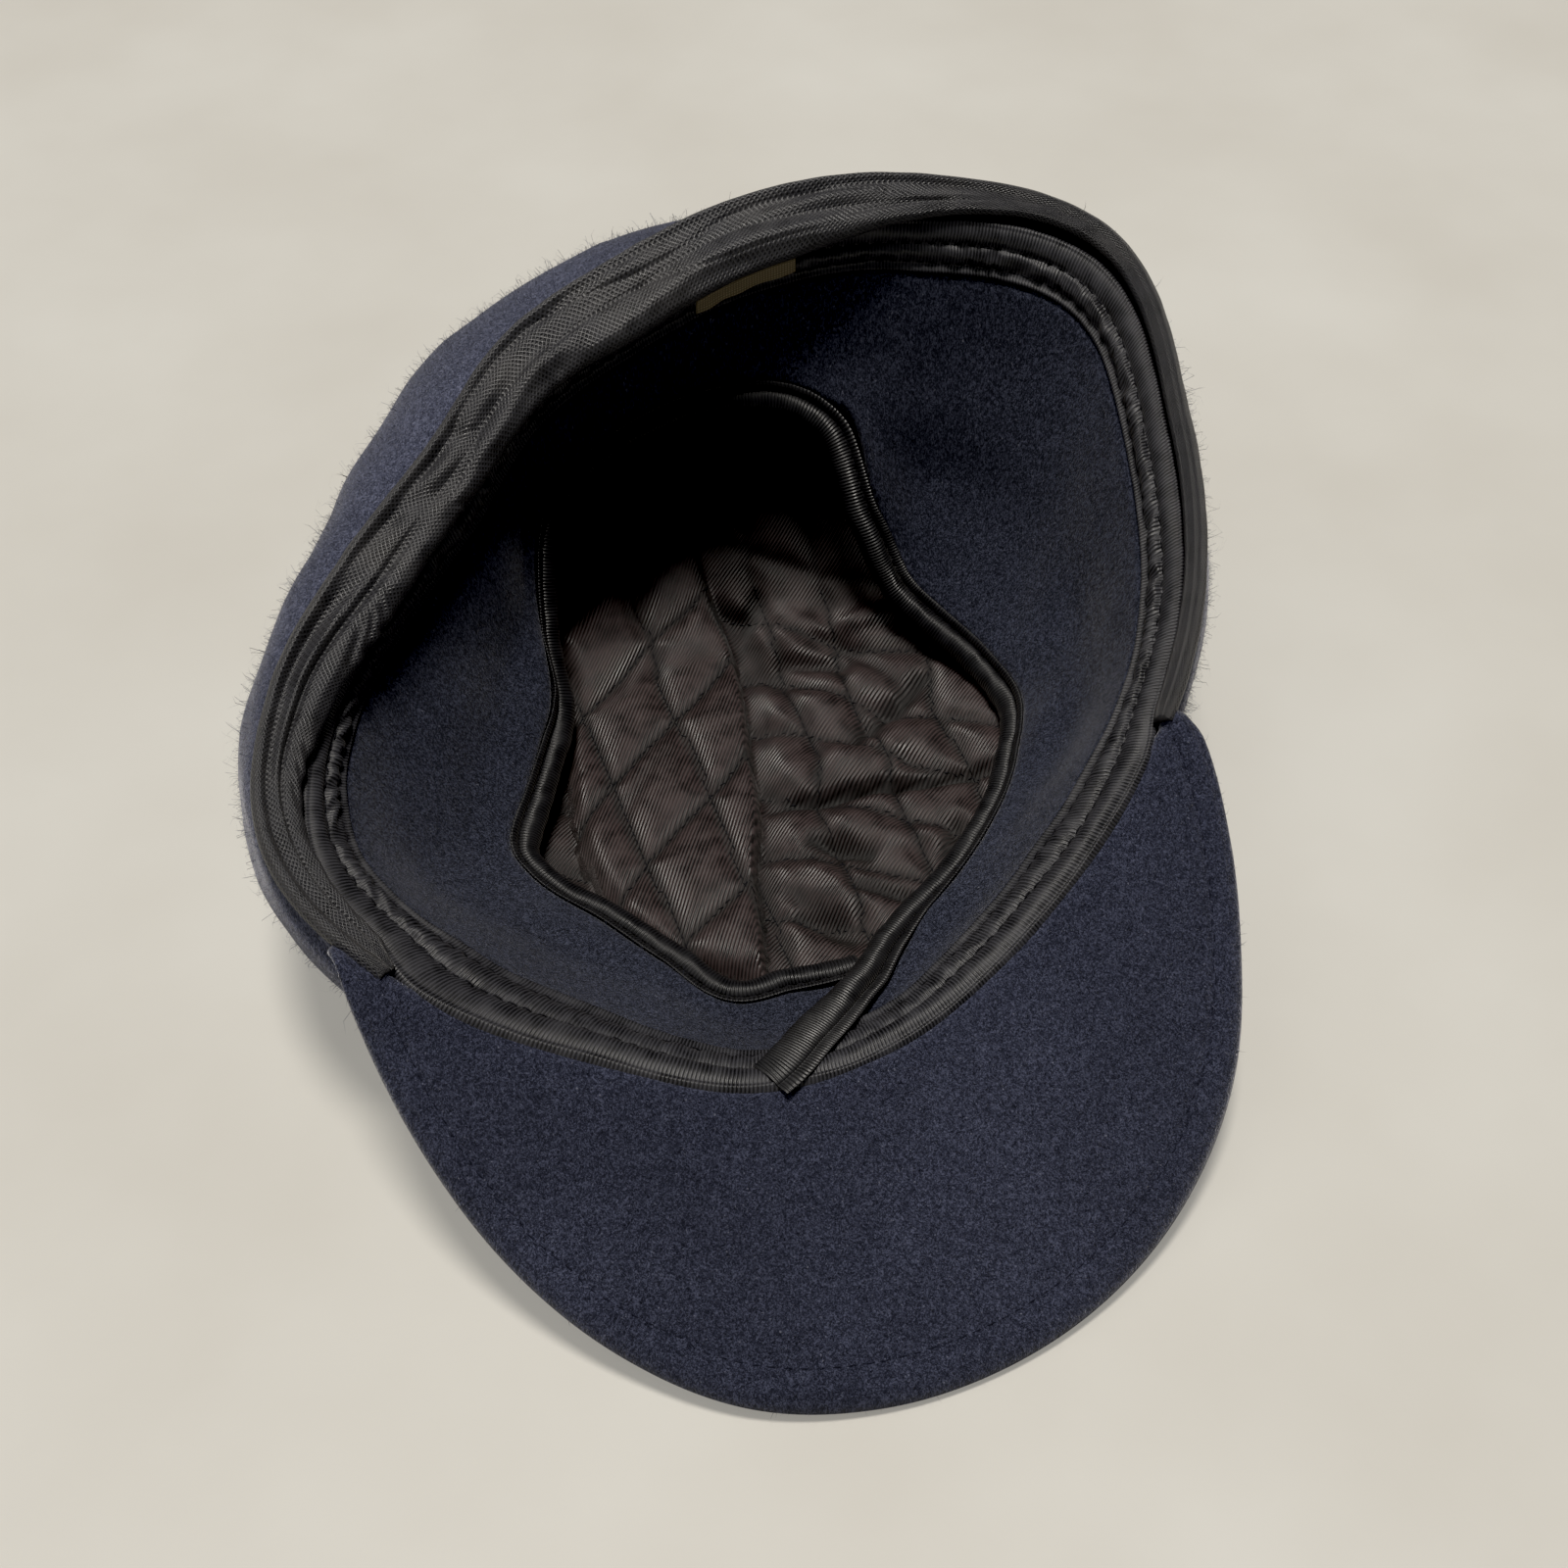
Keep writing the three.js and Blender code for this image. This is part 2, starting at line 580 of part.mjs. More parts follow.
const cap = new THREE.Group();
cap.name = 'earflap_cap';
for (const piece of PIECES) {
  const material = new THREE.MeshStandardMaterial({ color: piece.colour, roughness: 0.9 });
  const mesh = new THREE.Mesh(piece.make(), material);
  mesh.name = piece.name;
  cap.add(mesh);
}

export default cap;
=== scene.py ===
"""Navy wool earflap cap lying on its crown, flap folded inside, peak towards the viewer.

Millimetres in the tables and sizes, metres in the meshes. +Z is up from the floor and -Y is towards the peak.
A turn is an angle in degrees round the head opening, 0 at the peak and positive towards +X.
"""
import logging
import math
from dataclasses import dataclass, field
from enum import Enum
from typing import Any, NamedTuple, Optional, Sequence

import bpy
import numpy as np
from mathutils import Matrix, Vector


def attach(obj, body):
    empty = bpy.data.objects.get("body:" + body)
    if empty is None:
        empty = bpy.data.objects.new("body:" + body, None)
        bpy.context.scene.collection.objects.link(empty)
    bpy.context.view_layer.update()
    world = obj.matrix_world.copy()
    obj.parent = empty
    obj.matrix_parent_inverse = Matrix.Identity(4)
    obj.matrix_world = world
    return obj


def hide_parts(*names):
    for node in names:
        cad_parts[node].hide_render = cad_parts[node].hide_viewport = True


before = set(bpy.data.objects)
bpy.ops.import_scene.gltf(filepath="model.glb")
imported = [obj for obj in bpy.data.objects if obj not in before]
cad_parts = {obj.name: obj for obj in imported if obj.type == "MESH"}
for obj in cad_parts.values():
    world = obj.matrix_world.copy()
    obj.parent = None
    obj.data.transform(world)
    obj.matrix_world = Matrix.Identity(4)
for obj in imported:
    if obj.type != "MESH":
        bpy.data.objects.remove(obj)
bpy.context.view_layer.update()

MM = 0.001
LOG = logging.getLogger("earflap_cap")


class RimRow(NamedTuple):
    """One place on the rim: where it is and how the crown's wall stands below it."""

    turn: float
    reach: float
    rise: float
    bulge: float
    drop: float
    seat: float
    round: float


class FoldRow(NamedTuple):
    """A soft fold or dent in the crown's wall; out is minus for a dent."""

    turn: float
    spread: float
    out: float


class BandRow(NamedTuple):
    """Outer and inner edge of the inner band, inside and below the rim."""

    turn: float
    out_in: float
    out_drop: float
    in_in: float
    in_drop: float


class BindingRow(NamedTuple):
    """Width of the rim binding, fall of its inner edge, and share of loose gathers."""

    turn: float
    width: float
    lean: float
    gather: float


class EdgeRow(NamedTuple):
    """A place on a free edge."""

    turn: float
    reach: float
    rise: float


class PadRow(NamedTuple):
    """Where the raised lining panel ends: its x at a place y."""

    y: float
    x: float


class PullRow(NamedTuple):
    """A slanted pull in the rim binding: how far it runs along for each step across, its width and its height."""

    turn: float
    slant: float
    width: float
    height: float


class SeamRow(NamedTuple):
    """Parallel quilting seams: on the raised panel or not, steep if x runs with y, first one, slope and spacing."""

    raised: bool
    steep: bool
    start: float
    slope: float
    pitch: float


class CreaseRow(NamedTuple):
    """A soft ridge, or a crease where height is minus, between two places of the lining."""

    from_x: float
    from_y: float
    to_x: float
    to_y: float
    width: float
    height: float

    def along(self, x: np.ndarray, y: np.ndarray) -> tuple:
        """Where flat places lie beside it.

        Args:
            x: flat places from left to right.
            y: flat places from front to back.

        Returns:
            Share of the way along it, and the distance from it.
        """
        run = np.array([self.to_x - self.from_x, self.to_y - self.from_y])
        length = np.hypot(*run)
        part = ((x - self.from_x) * run[0] + (y - self.from_y) * run[1]) / length ** 2
        return part, ((x - self.from_x) * run[1] - (y - self.from_y) * run[0]) / length


class SectionRow(NamedTuple):
    """A corner of the flap binding's section: how far towards the wool from its roll, and how high."""

    across: float
    up: float


class Stitch(NamedTuple):
    """A row of stitches: from one to the next, length of one, and thickness of the thread."""

    pitch: float
    length: float
    width: float


class Nap(NamedTuple):
    """Loose fibres: how many, their usual length, how far tips stand off as a share of it, and the seed."""

    fibres: int
    length: float
    stand: float
    seed: int


RIM = [RimRow(*row) for row in (
    (-180, 79, 94, 21, 15, 2.1, 1.7), (-160, 77, 86, 22.5, 17, 2.2, 1.7), (-140, 73.5, 76, 21, 17, 2.5, 1.7),
    (-120, 79.5, 68, 14.3, 17, 2.8, 1.6), (-100, 91, 60, 7.3, 15, 2.9, 1.4), (-80, 99, 53, 0.4, 13, 2.7, 1.2),
    (-60, 94, 44, -1, 13, 4.3, 1.1), (-40, 86, 35, 1, 12, 4.3, 1.15), (-20, 83, 28, 2, 11, 4.3, 1.3),
    (0, 77, 26, 3, 11, 4.3, 1.4), (20, 72, 28, 3, 11, 4.3, 1.4), (40, 73, 35, 3, 13, 4.3, 1.5),
    (60, 79, 45, 3, 17, 4.3, 1.6), (80, 89, 58, 3, 19, 1.9, 1.7), (100, 100, 74, 2, 20, 1.9, 1.7),
    (120, 113, 92, 2, 20, 2.2, 1.7), (140, 98, 101, 4, 20, 2.2, 1.7), (160, 87, 100, 8, 16, 2.1, 1.7))]

CROWN_FOLDS = [FoldRow(*row) for row in (
    (-172, 11, -1), (-128, 9, -0.8), (-70, 12, 2), (70, 10, -3), (104, 9, 3), (150, 10, -4))]

BAND = [BandRow(*row) for row in (
    (-180, 6, 6, 8, 17), (-140, 6, 6, 8, 17), (-110, 8, 6.4, 11, 15), (-90, 7.6, 5.6, 14, 12.5),
    (-76, 6.6, 5, 17, 11), (-68, 6, 4.6, 17.5, 9.5), (-59, 0.4, 0.4, 17.5, 8), (-30, 0, 0, 14, 7),
    (0, 0, 0, 12.5, 6), (30, 0, 0, 12.5, 6), (57, 0.2, 0.3, 12.2, 7), (67, 3.2, 3.6, 11.6, 8.4),
    (80, 3.4, 3.8, 11.2, 10), (100, 3.6, 4, 11.4, 11.5), (115, 4, 4.4, 12, 12.5), (130, 5, 5.2, 10, 15),
    (150, 6.5, 6.4, 8, 17))]

BINDING = [BindingRow(*row) for row in (
    (-62.5, 2.4, 0.4, 0), (-64.5, 4, 1.2, 0.05), (-67, 6, 2.2, 0.1), (-78, 7, 2.6, 0.12), (-90, 7.4, 3, 0.15),
    (-99, 10, 3.6, 0.2), (-112, 12, 4.6, 0.3), (-128, 11, 5, 0.6), (-142, 10.6, 5.6, 1), (-162, 12.6, 6.6, 1),
    (-180, 14, 7.6, 1), (-204, 13.5, 7.4, 0.9), (-213, 11.5, 6, 0.7), (-220, 8.6, 4, 0.5), (-227, 5.8, 2.6, 0.3),
    (-235, 3.9, 1.6, 0.2), (-250, 3.3, 1.2, 0.1), (-275, 3.2, 1.2, 0.1), (-294, 3, 1, 0.1), (-297, 2.4, 0.5, 0))]

FLAP_EDGE = [EdgeRow(*row) for row in (
    (6, 46.5, 9.6), (-12, 46.5, 10.2), (-25, 49.5, 10.8), (-41, 44.5, 12.4), (-62, 43, 13), (-83, 48, 13),
    (-92, 49.5, 13), (-108, 45.5, 13.5), (-125, 45, 15), (-138, 48, 18), (-147, 57, 27), (-158, 66, 46),
    (-175, 69, 57), (-200, 73, 60), (-213, 71, 54), (-221, 63.5, 38), (-228, 62, 24), (-238, 62, 17.5),
    (-253, 61.5, 15), (-266, 60.5, 14), (-280, 54, 13), (-304, 46.5, 12.5), (-331, 43.5, 12.5),
    (-346, 47, 14.5), (-357, 54, 17.2))]
BINDING_TAIL = [EdgeRow(*row) for row in (
    (-363, 59, 20.6), (-370, 67, 26), (-376, 77, 30.2), (-378, 79.6, 30.6))]

PEAK_EDGE = [EdgeRow(*row) for row in (
    (-68.5, 98.6, 48.2), (-65.5, 100, 48.2), (-61, 102.8, 41.5), (-51.5, 109.2, 29), (-41.5, 116, 17),
    (-30.5, 123.5, 9.2), (-20, 129.5, 5.8), (-10, 130.7, 4.4), (0, 129, 4.3), (10.5, 125.3, 5.6), (21, 120, 9.4),
    (32.5, 112.4, 16.5), (43, 103, 26), (52.5, 95, 36), (61.5, 87.2, 46), (64.5, 83.4, 47.8))]

PAD_RIGHT = [PadRow(*row) for row in (
    (-60, -15), (-41, -12), (-30, -9), (-15, -5), (-3, 0), (14, 4), (30, 8), (48, 11), (62, 11), (90, 11))]
PAD_LEFT = [PadRow(*row) for row in (
    (-60, -12), (-46, -15), (-36, -23), (-29, -29), (-18, -35), (-6, -37), (7, -37), (28, -33), (49, -29),
    (90, -27))]

PULLS = [PullRow(*row) for row in (
    (-106, 5, 9, 0.35), (-118, 4.5, 8, -0.35), (-126, 3.6, 7, 0.5), (-133, 3.2, 6, -0.5), (-139, 3, 6, 0.55),
    (-147, 3.6, 7, -0.45), (-155, 4.2, 8, 0.45), (-166, -4, 9, 0.35), (-178, 4.5, 9, -0.3), (-194, 5, 10, 0.4))]

SEAMS = [SeamRow(*row) for row in (
    (True, True, -8, 0.0, 19), (True, False, 57.9, 0.74, 23.5),
    (False, True, 14, 0.11, 16), (False, False, 46.6, -0.72, 19))]

CREASES = [CreaseRow(*row) for row in (
    (8, 6, 48, 10, 5, 3), (4, -12, 34, -6, 5, 2.4), (12, 22, 44, 30, 6, 3), (0, -26, 20, -30, 5, 2),
    (16, 38, 30, 52, 6, 2.5), (2, 1, 54, -6, 1.5, -5.2), (17, 40, 36, 33, 2.4, -2.2), (31, 46, 44, 22, 2.2, -1.8),
    (30, 46, 52, 44, 2.6, 2.0), (18, 30, 12, 62, 2.6, -2.4), (-2, -20, 8, -36, 2.0, -2.0),
    (4, -14, 14, -34, 2.2, 1.8), (-30, 4, -12, 22, 2.0, -1.0), (-10, 60, -2, 70, 2.0, -2.0),
    (6, -10, 20, -20, 1.8, -3.4), (10, -24, 26, -34, 2.0, -3.2), (-2, -26, 8, -40, 1.8, -3.0),
    (36, 16, 50, 26, 2.0, -3.2), (24, 10, 40, 20, 2.2, -3.0), (14, 50, 22, 60, 2.0, -3.0),
    (40, -14, 30, -30, 2.0, -2.8), (26, -4, 34, 8, 2.4, 1.8), (20, -14, 36, -20, 2.6, 1.8))]

FLAP_MARGIN = [SectionRow(*row) for row in (
    (4.5, 1.9), (4.4, 2.15), (3.7, 2.2), (3.0, 2.1), (2.6, 1.75), (2.3, 1.6), (2.05, 1.7))]
FLAP_UNDER = [SectionRow(*row) for row in (
    (1.4, -1.7), (2.1, -0.9), (2.2, 0.4), (2.4, 1.4), (4.3, 1.65))]


class Curve:
    """Smooth curve through one column of a table, as a function of its first column."""

    def __init__(self, rows: Sequence[Any], column: str, period: float = 0.0) -> None:
        """Reads the column.

        Args:
            rows: the table.
            column: name of the column to follow.
            period: closes the curve into a ring where it isn't 0.
        """
        ordered = sorted(rows, key=lambda row: row[0])
        keys = [row[0] for row in ordered]
        values = [getattr(row, column) for row in ordered]
        if period:
            keys = [key - period for key in keys[-2:]] + keys + [key + period for key in keys[:2]]
            values = values[-2:] + values + values[:2]
        self.period = period
        self.keys = np.array(keys, float)
        self.values = np.array(values, float)
        before = np.maximum(np.arange(len(keys)) - 1, 0)
        after = np.minimum(np.arange(len(keys)) + 1, len(keys) - 1)
        self.slopes = (self.values[after] - self.values[before]) / (self.keys[after] - self.keys[before])

    def __call__(self, turn: Any) -> np.ndarray:
        """Follows the curve.

        Args:
            turn: one place or many, in the measure of the first column.

        Returns:
            Value of the column at each place.
        """
        key = np.asarray(turn, float)
        if self.period:
            key = np.mod(key + self.period / 2, self.period) - self.period / 2
        key = np.clip(key, self.keys[0], self.keys[-1])
        at = np.clip(np.searchsorted(self.keys, key, "right") - 1, 0, len(self.keys) - 2)
        span = self.keys[at + 1] - self.keys[at]
        part = (key - self.keys[at]) / span
        square, cube = part ** 2, part ** 3
        return (self.values[at] * (2 * cube - 3 * square + 1)
                + self.slopes[at] * span * (cube - 2 * square + part)
                + self.values[at + 1] * (3 * square - 2 * cube)
                + self.slopes[at + 1] * span * (cube - square))


def curve_of(rows: Sequence[Any], column: str, period: float = 0.0) -> Any:
    """Dataclass field that holds the curve through one column of a table."""
    return field(default_factory=lambda: Curve(rows, column, period))


class Ripple:
    """Smooth, repeatable unevenness of a cloth, made of crossing waves; each use has a seed of its own."""

    def __init__(self, seed: int, waves: int = 26) -> None:
        """Draws the waves.

        Args:
            seed: picks the pattern.
            waves: how many waves cross.
        """
        draw = np.random.default_rng(seed)
        angle = draw.uniform(0, 2 * np.pi, waves)
        pitch = 2 * np.pi * draw.uniform(0.55, 1.45, waves)
        self.waves = np.stack([np.cos(angle) * pitch, np.sin(angle) * pitch, draw.uniform(0, 2 * np.pi, waves)])

    def __call__(self, along: np.ndarray, across: np.ndarray) -> np.ndarray:
        """Adds up the waves.

        Args:
            along: places along the cloth, in wavelengths.
            across: places across it, in wavelengths.

        Returns:
            Heights of about -2 to 2.
        """
        total = np.zeros(np.broadcast(along, across).shape)
        for one, two, start in self.waves.T:
            total += np.cos(one * along + two * across + start)
        return total / math.sqrt(self.waves.shape[1] / 2)


SEAM_DRIFT = Ripple(31)


def smooth(value: Any, low: float, high: float) -> np.ndarray:
    """Soft step from 0 at low to 1 at high."""
    part = np.clip((np.asarray(value, float) - low) / (high - low), 0, 1)
    return part * part * (3 - 2 * part)


def bell(away: Any, spread: float) -> np.ndarray:
    """Soft bump of 1 at no distance that falls off over a spread."""
    return np.exp(-(away / spread) ** 2)


def arch(part: Any, power: float = 1.0) -> np.ndarray:
    """Arch from 0 over 1 to 0 while the part runs from 0 to 1, fuller where the power is smaller."""
    return np.sin(np.pi * np.clip(part, 0, 1)) ** power


def spot(turn: Any, reach: Any, rise: Any) -> np.ndarray:
    """Points set out round the opening.

    Args:
        turn: turns from the peak.
        reach: distances from the middle.
        rise: heights above the floor.

    Returns:
        The points, with x, y and z last.
    """
    angle = np.radians(np.asarray(turn, float))
    flat = np.broadcast_arrays(reach * np.sin(angle), -reach * np.cos(angle), rise)
    return np.stack(flat, axis=-1).astype(float)


def unit(vectors: np.ndarray) -> np.ndarray:
    """Vectors made one long."""
    return vectors / np.maximum(np.linalg.norm(vectors, axis=-1, keepdims=True), 1e-9)


def upward(vectors: np.ndarray) -> np.ndarray:
    """Vectors turned over where they point down."""
    return vectors * np.where(vectors[..., 2:] < 0, -1, 1)


def normals_of(grid: np.ndarray, ring: bool) -> np.ndarray:
    """Normals of a grid of points.

    Args:
        grid: points, along by across by 3.
        ring: whether the last row meets the first.

    Returns:
        One normal for each point.
    """
    if ring:
        along = np.roll(grid, -1, axis=0) - np.roll(grid, 1, axis=0)
    else:
        along = np.gradient(grid, axis=0)
    return unit(np.cross(along, np.gradient(grid, axis=1)))


def lengths_along(points: np.ndarray) -> np.ndarray:
    """Distance of each point from the first, along the line."""
    steps = np.linalg.norm(np.diff(points, axis=0), axis=-1)
    return np.concatenate([[0.0], np.cumsum(steps)])


def mesh_piece(name: str, points: np.ndarray, faces: list, cloth: Optional[np.ndarray] = None) -> bpy.types.Object:
    """Smooth-shaded object from points in millimetres.

    Args:
        name: name of the piece.
        points: places of the vertices.
        faces: vertex numbers of each face.
        cloth: place on the flat cloth of each face corner, in millimetres.

    Returns:
        The new object, in the scene.
    """
    mesh = bpy.data.meshes.new(name)
    mesh.from_pydata((np.asarray(points) * MM).tolist(), [], faces)
    if cloth is not None:
        layer = mesh.uv_layers.new(name="cloth")
        layer.data.foreach_set("uv", np.asarray(cloth, np.float32).ravel())
    mesh.polygons.foreach_set("use_smooth", [True] * len(mesh.polygons))
    mesh.update()
    piece = bpy.data.objects.new(name, mesh)
    bpy.context.scene.collection.objects.link(piece)
    return piece


def swept(name: str, loops: np.ndarray, ring: bool) -> bpy.types.Object:
    """Closed piece swept through closed sections.

    Args:
        name: name of the piece.
        loops: sections along the piece, stations by points by 3.
        ring: whether the last section meets the first.

    Returns:
        The new object, its cloth places measured along and across it.
    """
    count, sides = loops.shape[:2]
    spans = count if ring else count - 1
    at, side = np.meshgrid(np.arange(spans), np.arange(sides), indexing="ij")
    at, side = at.ravel(), side.ravel()
    here, there = at * sides, ((at + 1) % count) * sides
    after = (side + 1) % sides
    quads = np.stack([here + side, there + side, there + after, here + after], axis=1)
    middle = loops.mean(axis=1)
    if ring:
        middle = np.concatenate([middle, middle[:1]])
    along = lengths_along(middle)
    girth = np.linalg.norm(loops - np.roll(loops, -1, axis=1), axis=-1).mean(axis=0)
    across = np.concatenate([[0.0], np.cumsum(girth)])
    corners = np.stack([
        np.stack([along[at], across[side]], 1), np.stack([along[at + 1], across[side]], 1),
        np.stack([along[at + 1], across[side + 1]], 1), np.stack([along[at], across[side + 1]], 1)], axis=1)
    points = loops.reshape(-1, 3)
    faces = quads.tolist()
    cloth = [corners.reshape(-1, 2)]
    if not ring:
        for base, flip in ((0, False), ((count - 1) * sides, True)):
            end = list(range(base, base + sides))
            faces.append(end if not flip else end[::-1])
            cloth.append(np.stack([np.full(sides, along[0 if not flip else -1]), across[:-1]], 1))
    piece = mesh_piece(name, points, faces, np.concatenate(cloth))
    return facing_out(piece)


def facing_out(piece: bpy.types.Object) -> bpy.types.Object:
    """Turns the faces of a closed piece over where they look inwards.

    Args:
        piece: the closed object.

    Returns:
        The same object.
    """
    mesh = piece.data
    mesh.calc_loop_triangles()
    corners = np.empty(len(mesh.loop_triangles) * 3, np.int32)
    mesh.loop_triangles.foreach_get("vertices", corners)
    places = np.empty(len(mesh.vertices) * 3)
    mesh.vertices.foreach_get("co", places)
    one, two, three = places.reshape(-1, 3)[corners.reshape(-1, 3)].transpose(1, 0, 2)
    if np.einsum("ij,ij->i", one, np.cross(two, three)).sum() < 0:
        mesh.flip_normals()
    return piece


def open_edges(faces: list) -> list:
    """Edges that only one face has.

    Args:
        faces: vertex numbers of each face.

    Returns:
        Pairs of vertex numbers.
    """
    edges: dict = {}
    for face in faces:
        for one, two in zip(face, face[1:] + face[:1]):
            if edges.pop((two, one), None) is None:
                edges[(one, two)] = True
    return list(edges)


def slab_loops(face: np.ndarray, back: np.ndarray) -> np.ndarray:
    """Closed sections of a cloth with rounded edges.

    Args:
        face: upper skin, along by across by 3.
        back: lower skin of the same size.

    Returns:
        Sections that run over the face, round one edge, over the back and round the other.
    """
    angles = (0.8, 1.57, 2.34)

    def edge(top: np.ndarray, under: np.ndarray, beside: np.ndarray) -> list:
        """Lines of points round one edge.

        Args:
            top: the edge on the face.
            under: the edge on the back.
            beside: the face's next line, further in.

        Returns:
            The lines, from the face to the back.
        """
        middle, half = (top + under) / 2, (top - under) / 2
        out = unit(top - beside) * np.linalg.norm(half, axis=-1, keepdims=True)
        return [middle + half * math.cos(angle) + out * math.sin(angle) for angle in angles]

    far = edge(face[:, -1], back[:, -1], face[:, -2])
    near = edge(face[:, 0], back[:, 0], face[:, 1])
    return np.concatenate([
        face, np.stack(far, axis=1), back[:, ::-1], np.stack(near[::-1], axis=1)], axis=1)


def settle(points: np.ndarray, faces: list, held: np.ndarray, spare: np.ndarray, push: float,
           frames: int) -> np.ndarray:
    """Cloth simulation of a padded face that is sewn down along its seams.

    Args:
        points: places of the vertices.
        faces: vertex numbers of each face.
        held: whether each vertex is sewn down.
        spare: extra length of the cloth at each vertex, as a share.
        push: outward push of the padding.
        frames: steps that the cloth is given to settle.

    Returns:
        Where the vertices come to rest.
    """
    # The solver is steadier on large pieces, so the cloth is simulated at ten times its size.
    large = 10 * MM
    mesh = bpy.data.meshes.new("settling")
    mesh.from_pydata((points * large).tolist(), [], faces)
    piece = bpy.data.objects.new("settling", mesh)
    bpy.context.scene.collection.objects.link(piece)
    piece.vertex_groups.new(name="held").add(np.nonzero(held)[0].tolist(), 1.0, "REPLACE")
    slack = piece.vertex_groups.new(name="slack")
    for at, share in enumerate((spare / spare.max()).tolist()):
        slack.add([at], share, "REPLACE")
    cloth = piece.modifiers.new("cloth", "CLOTH")
    made = cloth.settings
    made.quality, made.mass, made.air_damping = 8, 0.12, 3.0
    made.tension_stiffness = made.compression_stiffness = 12.0
    made.shear_stiffness, made.bending_stiffness = 4.0, 0.02
    made.vertex_group_mass, made.vertex_group_shrink = "held", "slack"
    made.shrink_min, made.shrink_max = 0.0, -float(spare.max())
    made.use_pressure, made.uniform_pressure_force = True, push
    made.effector_weights.gravity = 0.0
    cloth.collision_settings.use_collision = False
    cloth.point_cache.frame_start, cloth.point_cache.frame_end = 1, frames
    for step in range(1, frames + 1):
        bpy.context.scene.frame_set(step)
    settled = piece.evaluated_get(bpy.context.evaluated_depsgraph_get()).data
    places = np.empty(len(settled.vertices) * 3)
    settled.vertices.foreach_get("co", places)
    bpy.data.objects.remove(piece)
    bpy.data.meshes.remove(mesh)
    bpy.context.scene.frame_set(1)
    return places.reshape(-1, 3) / large


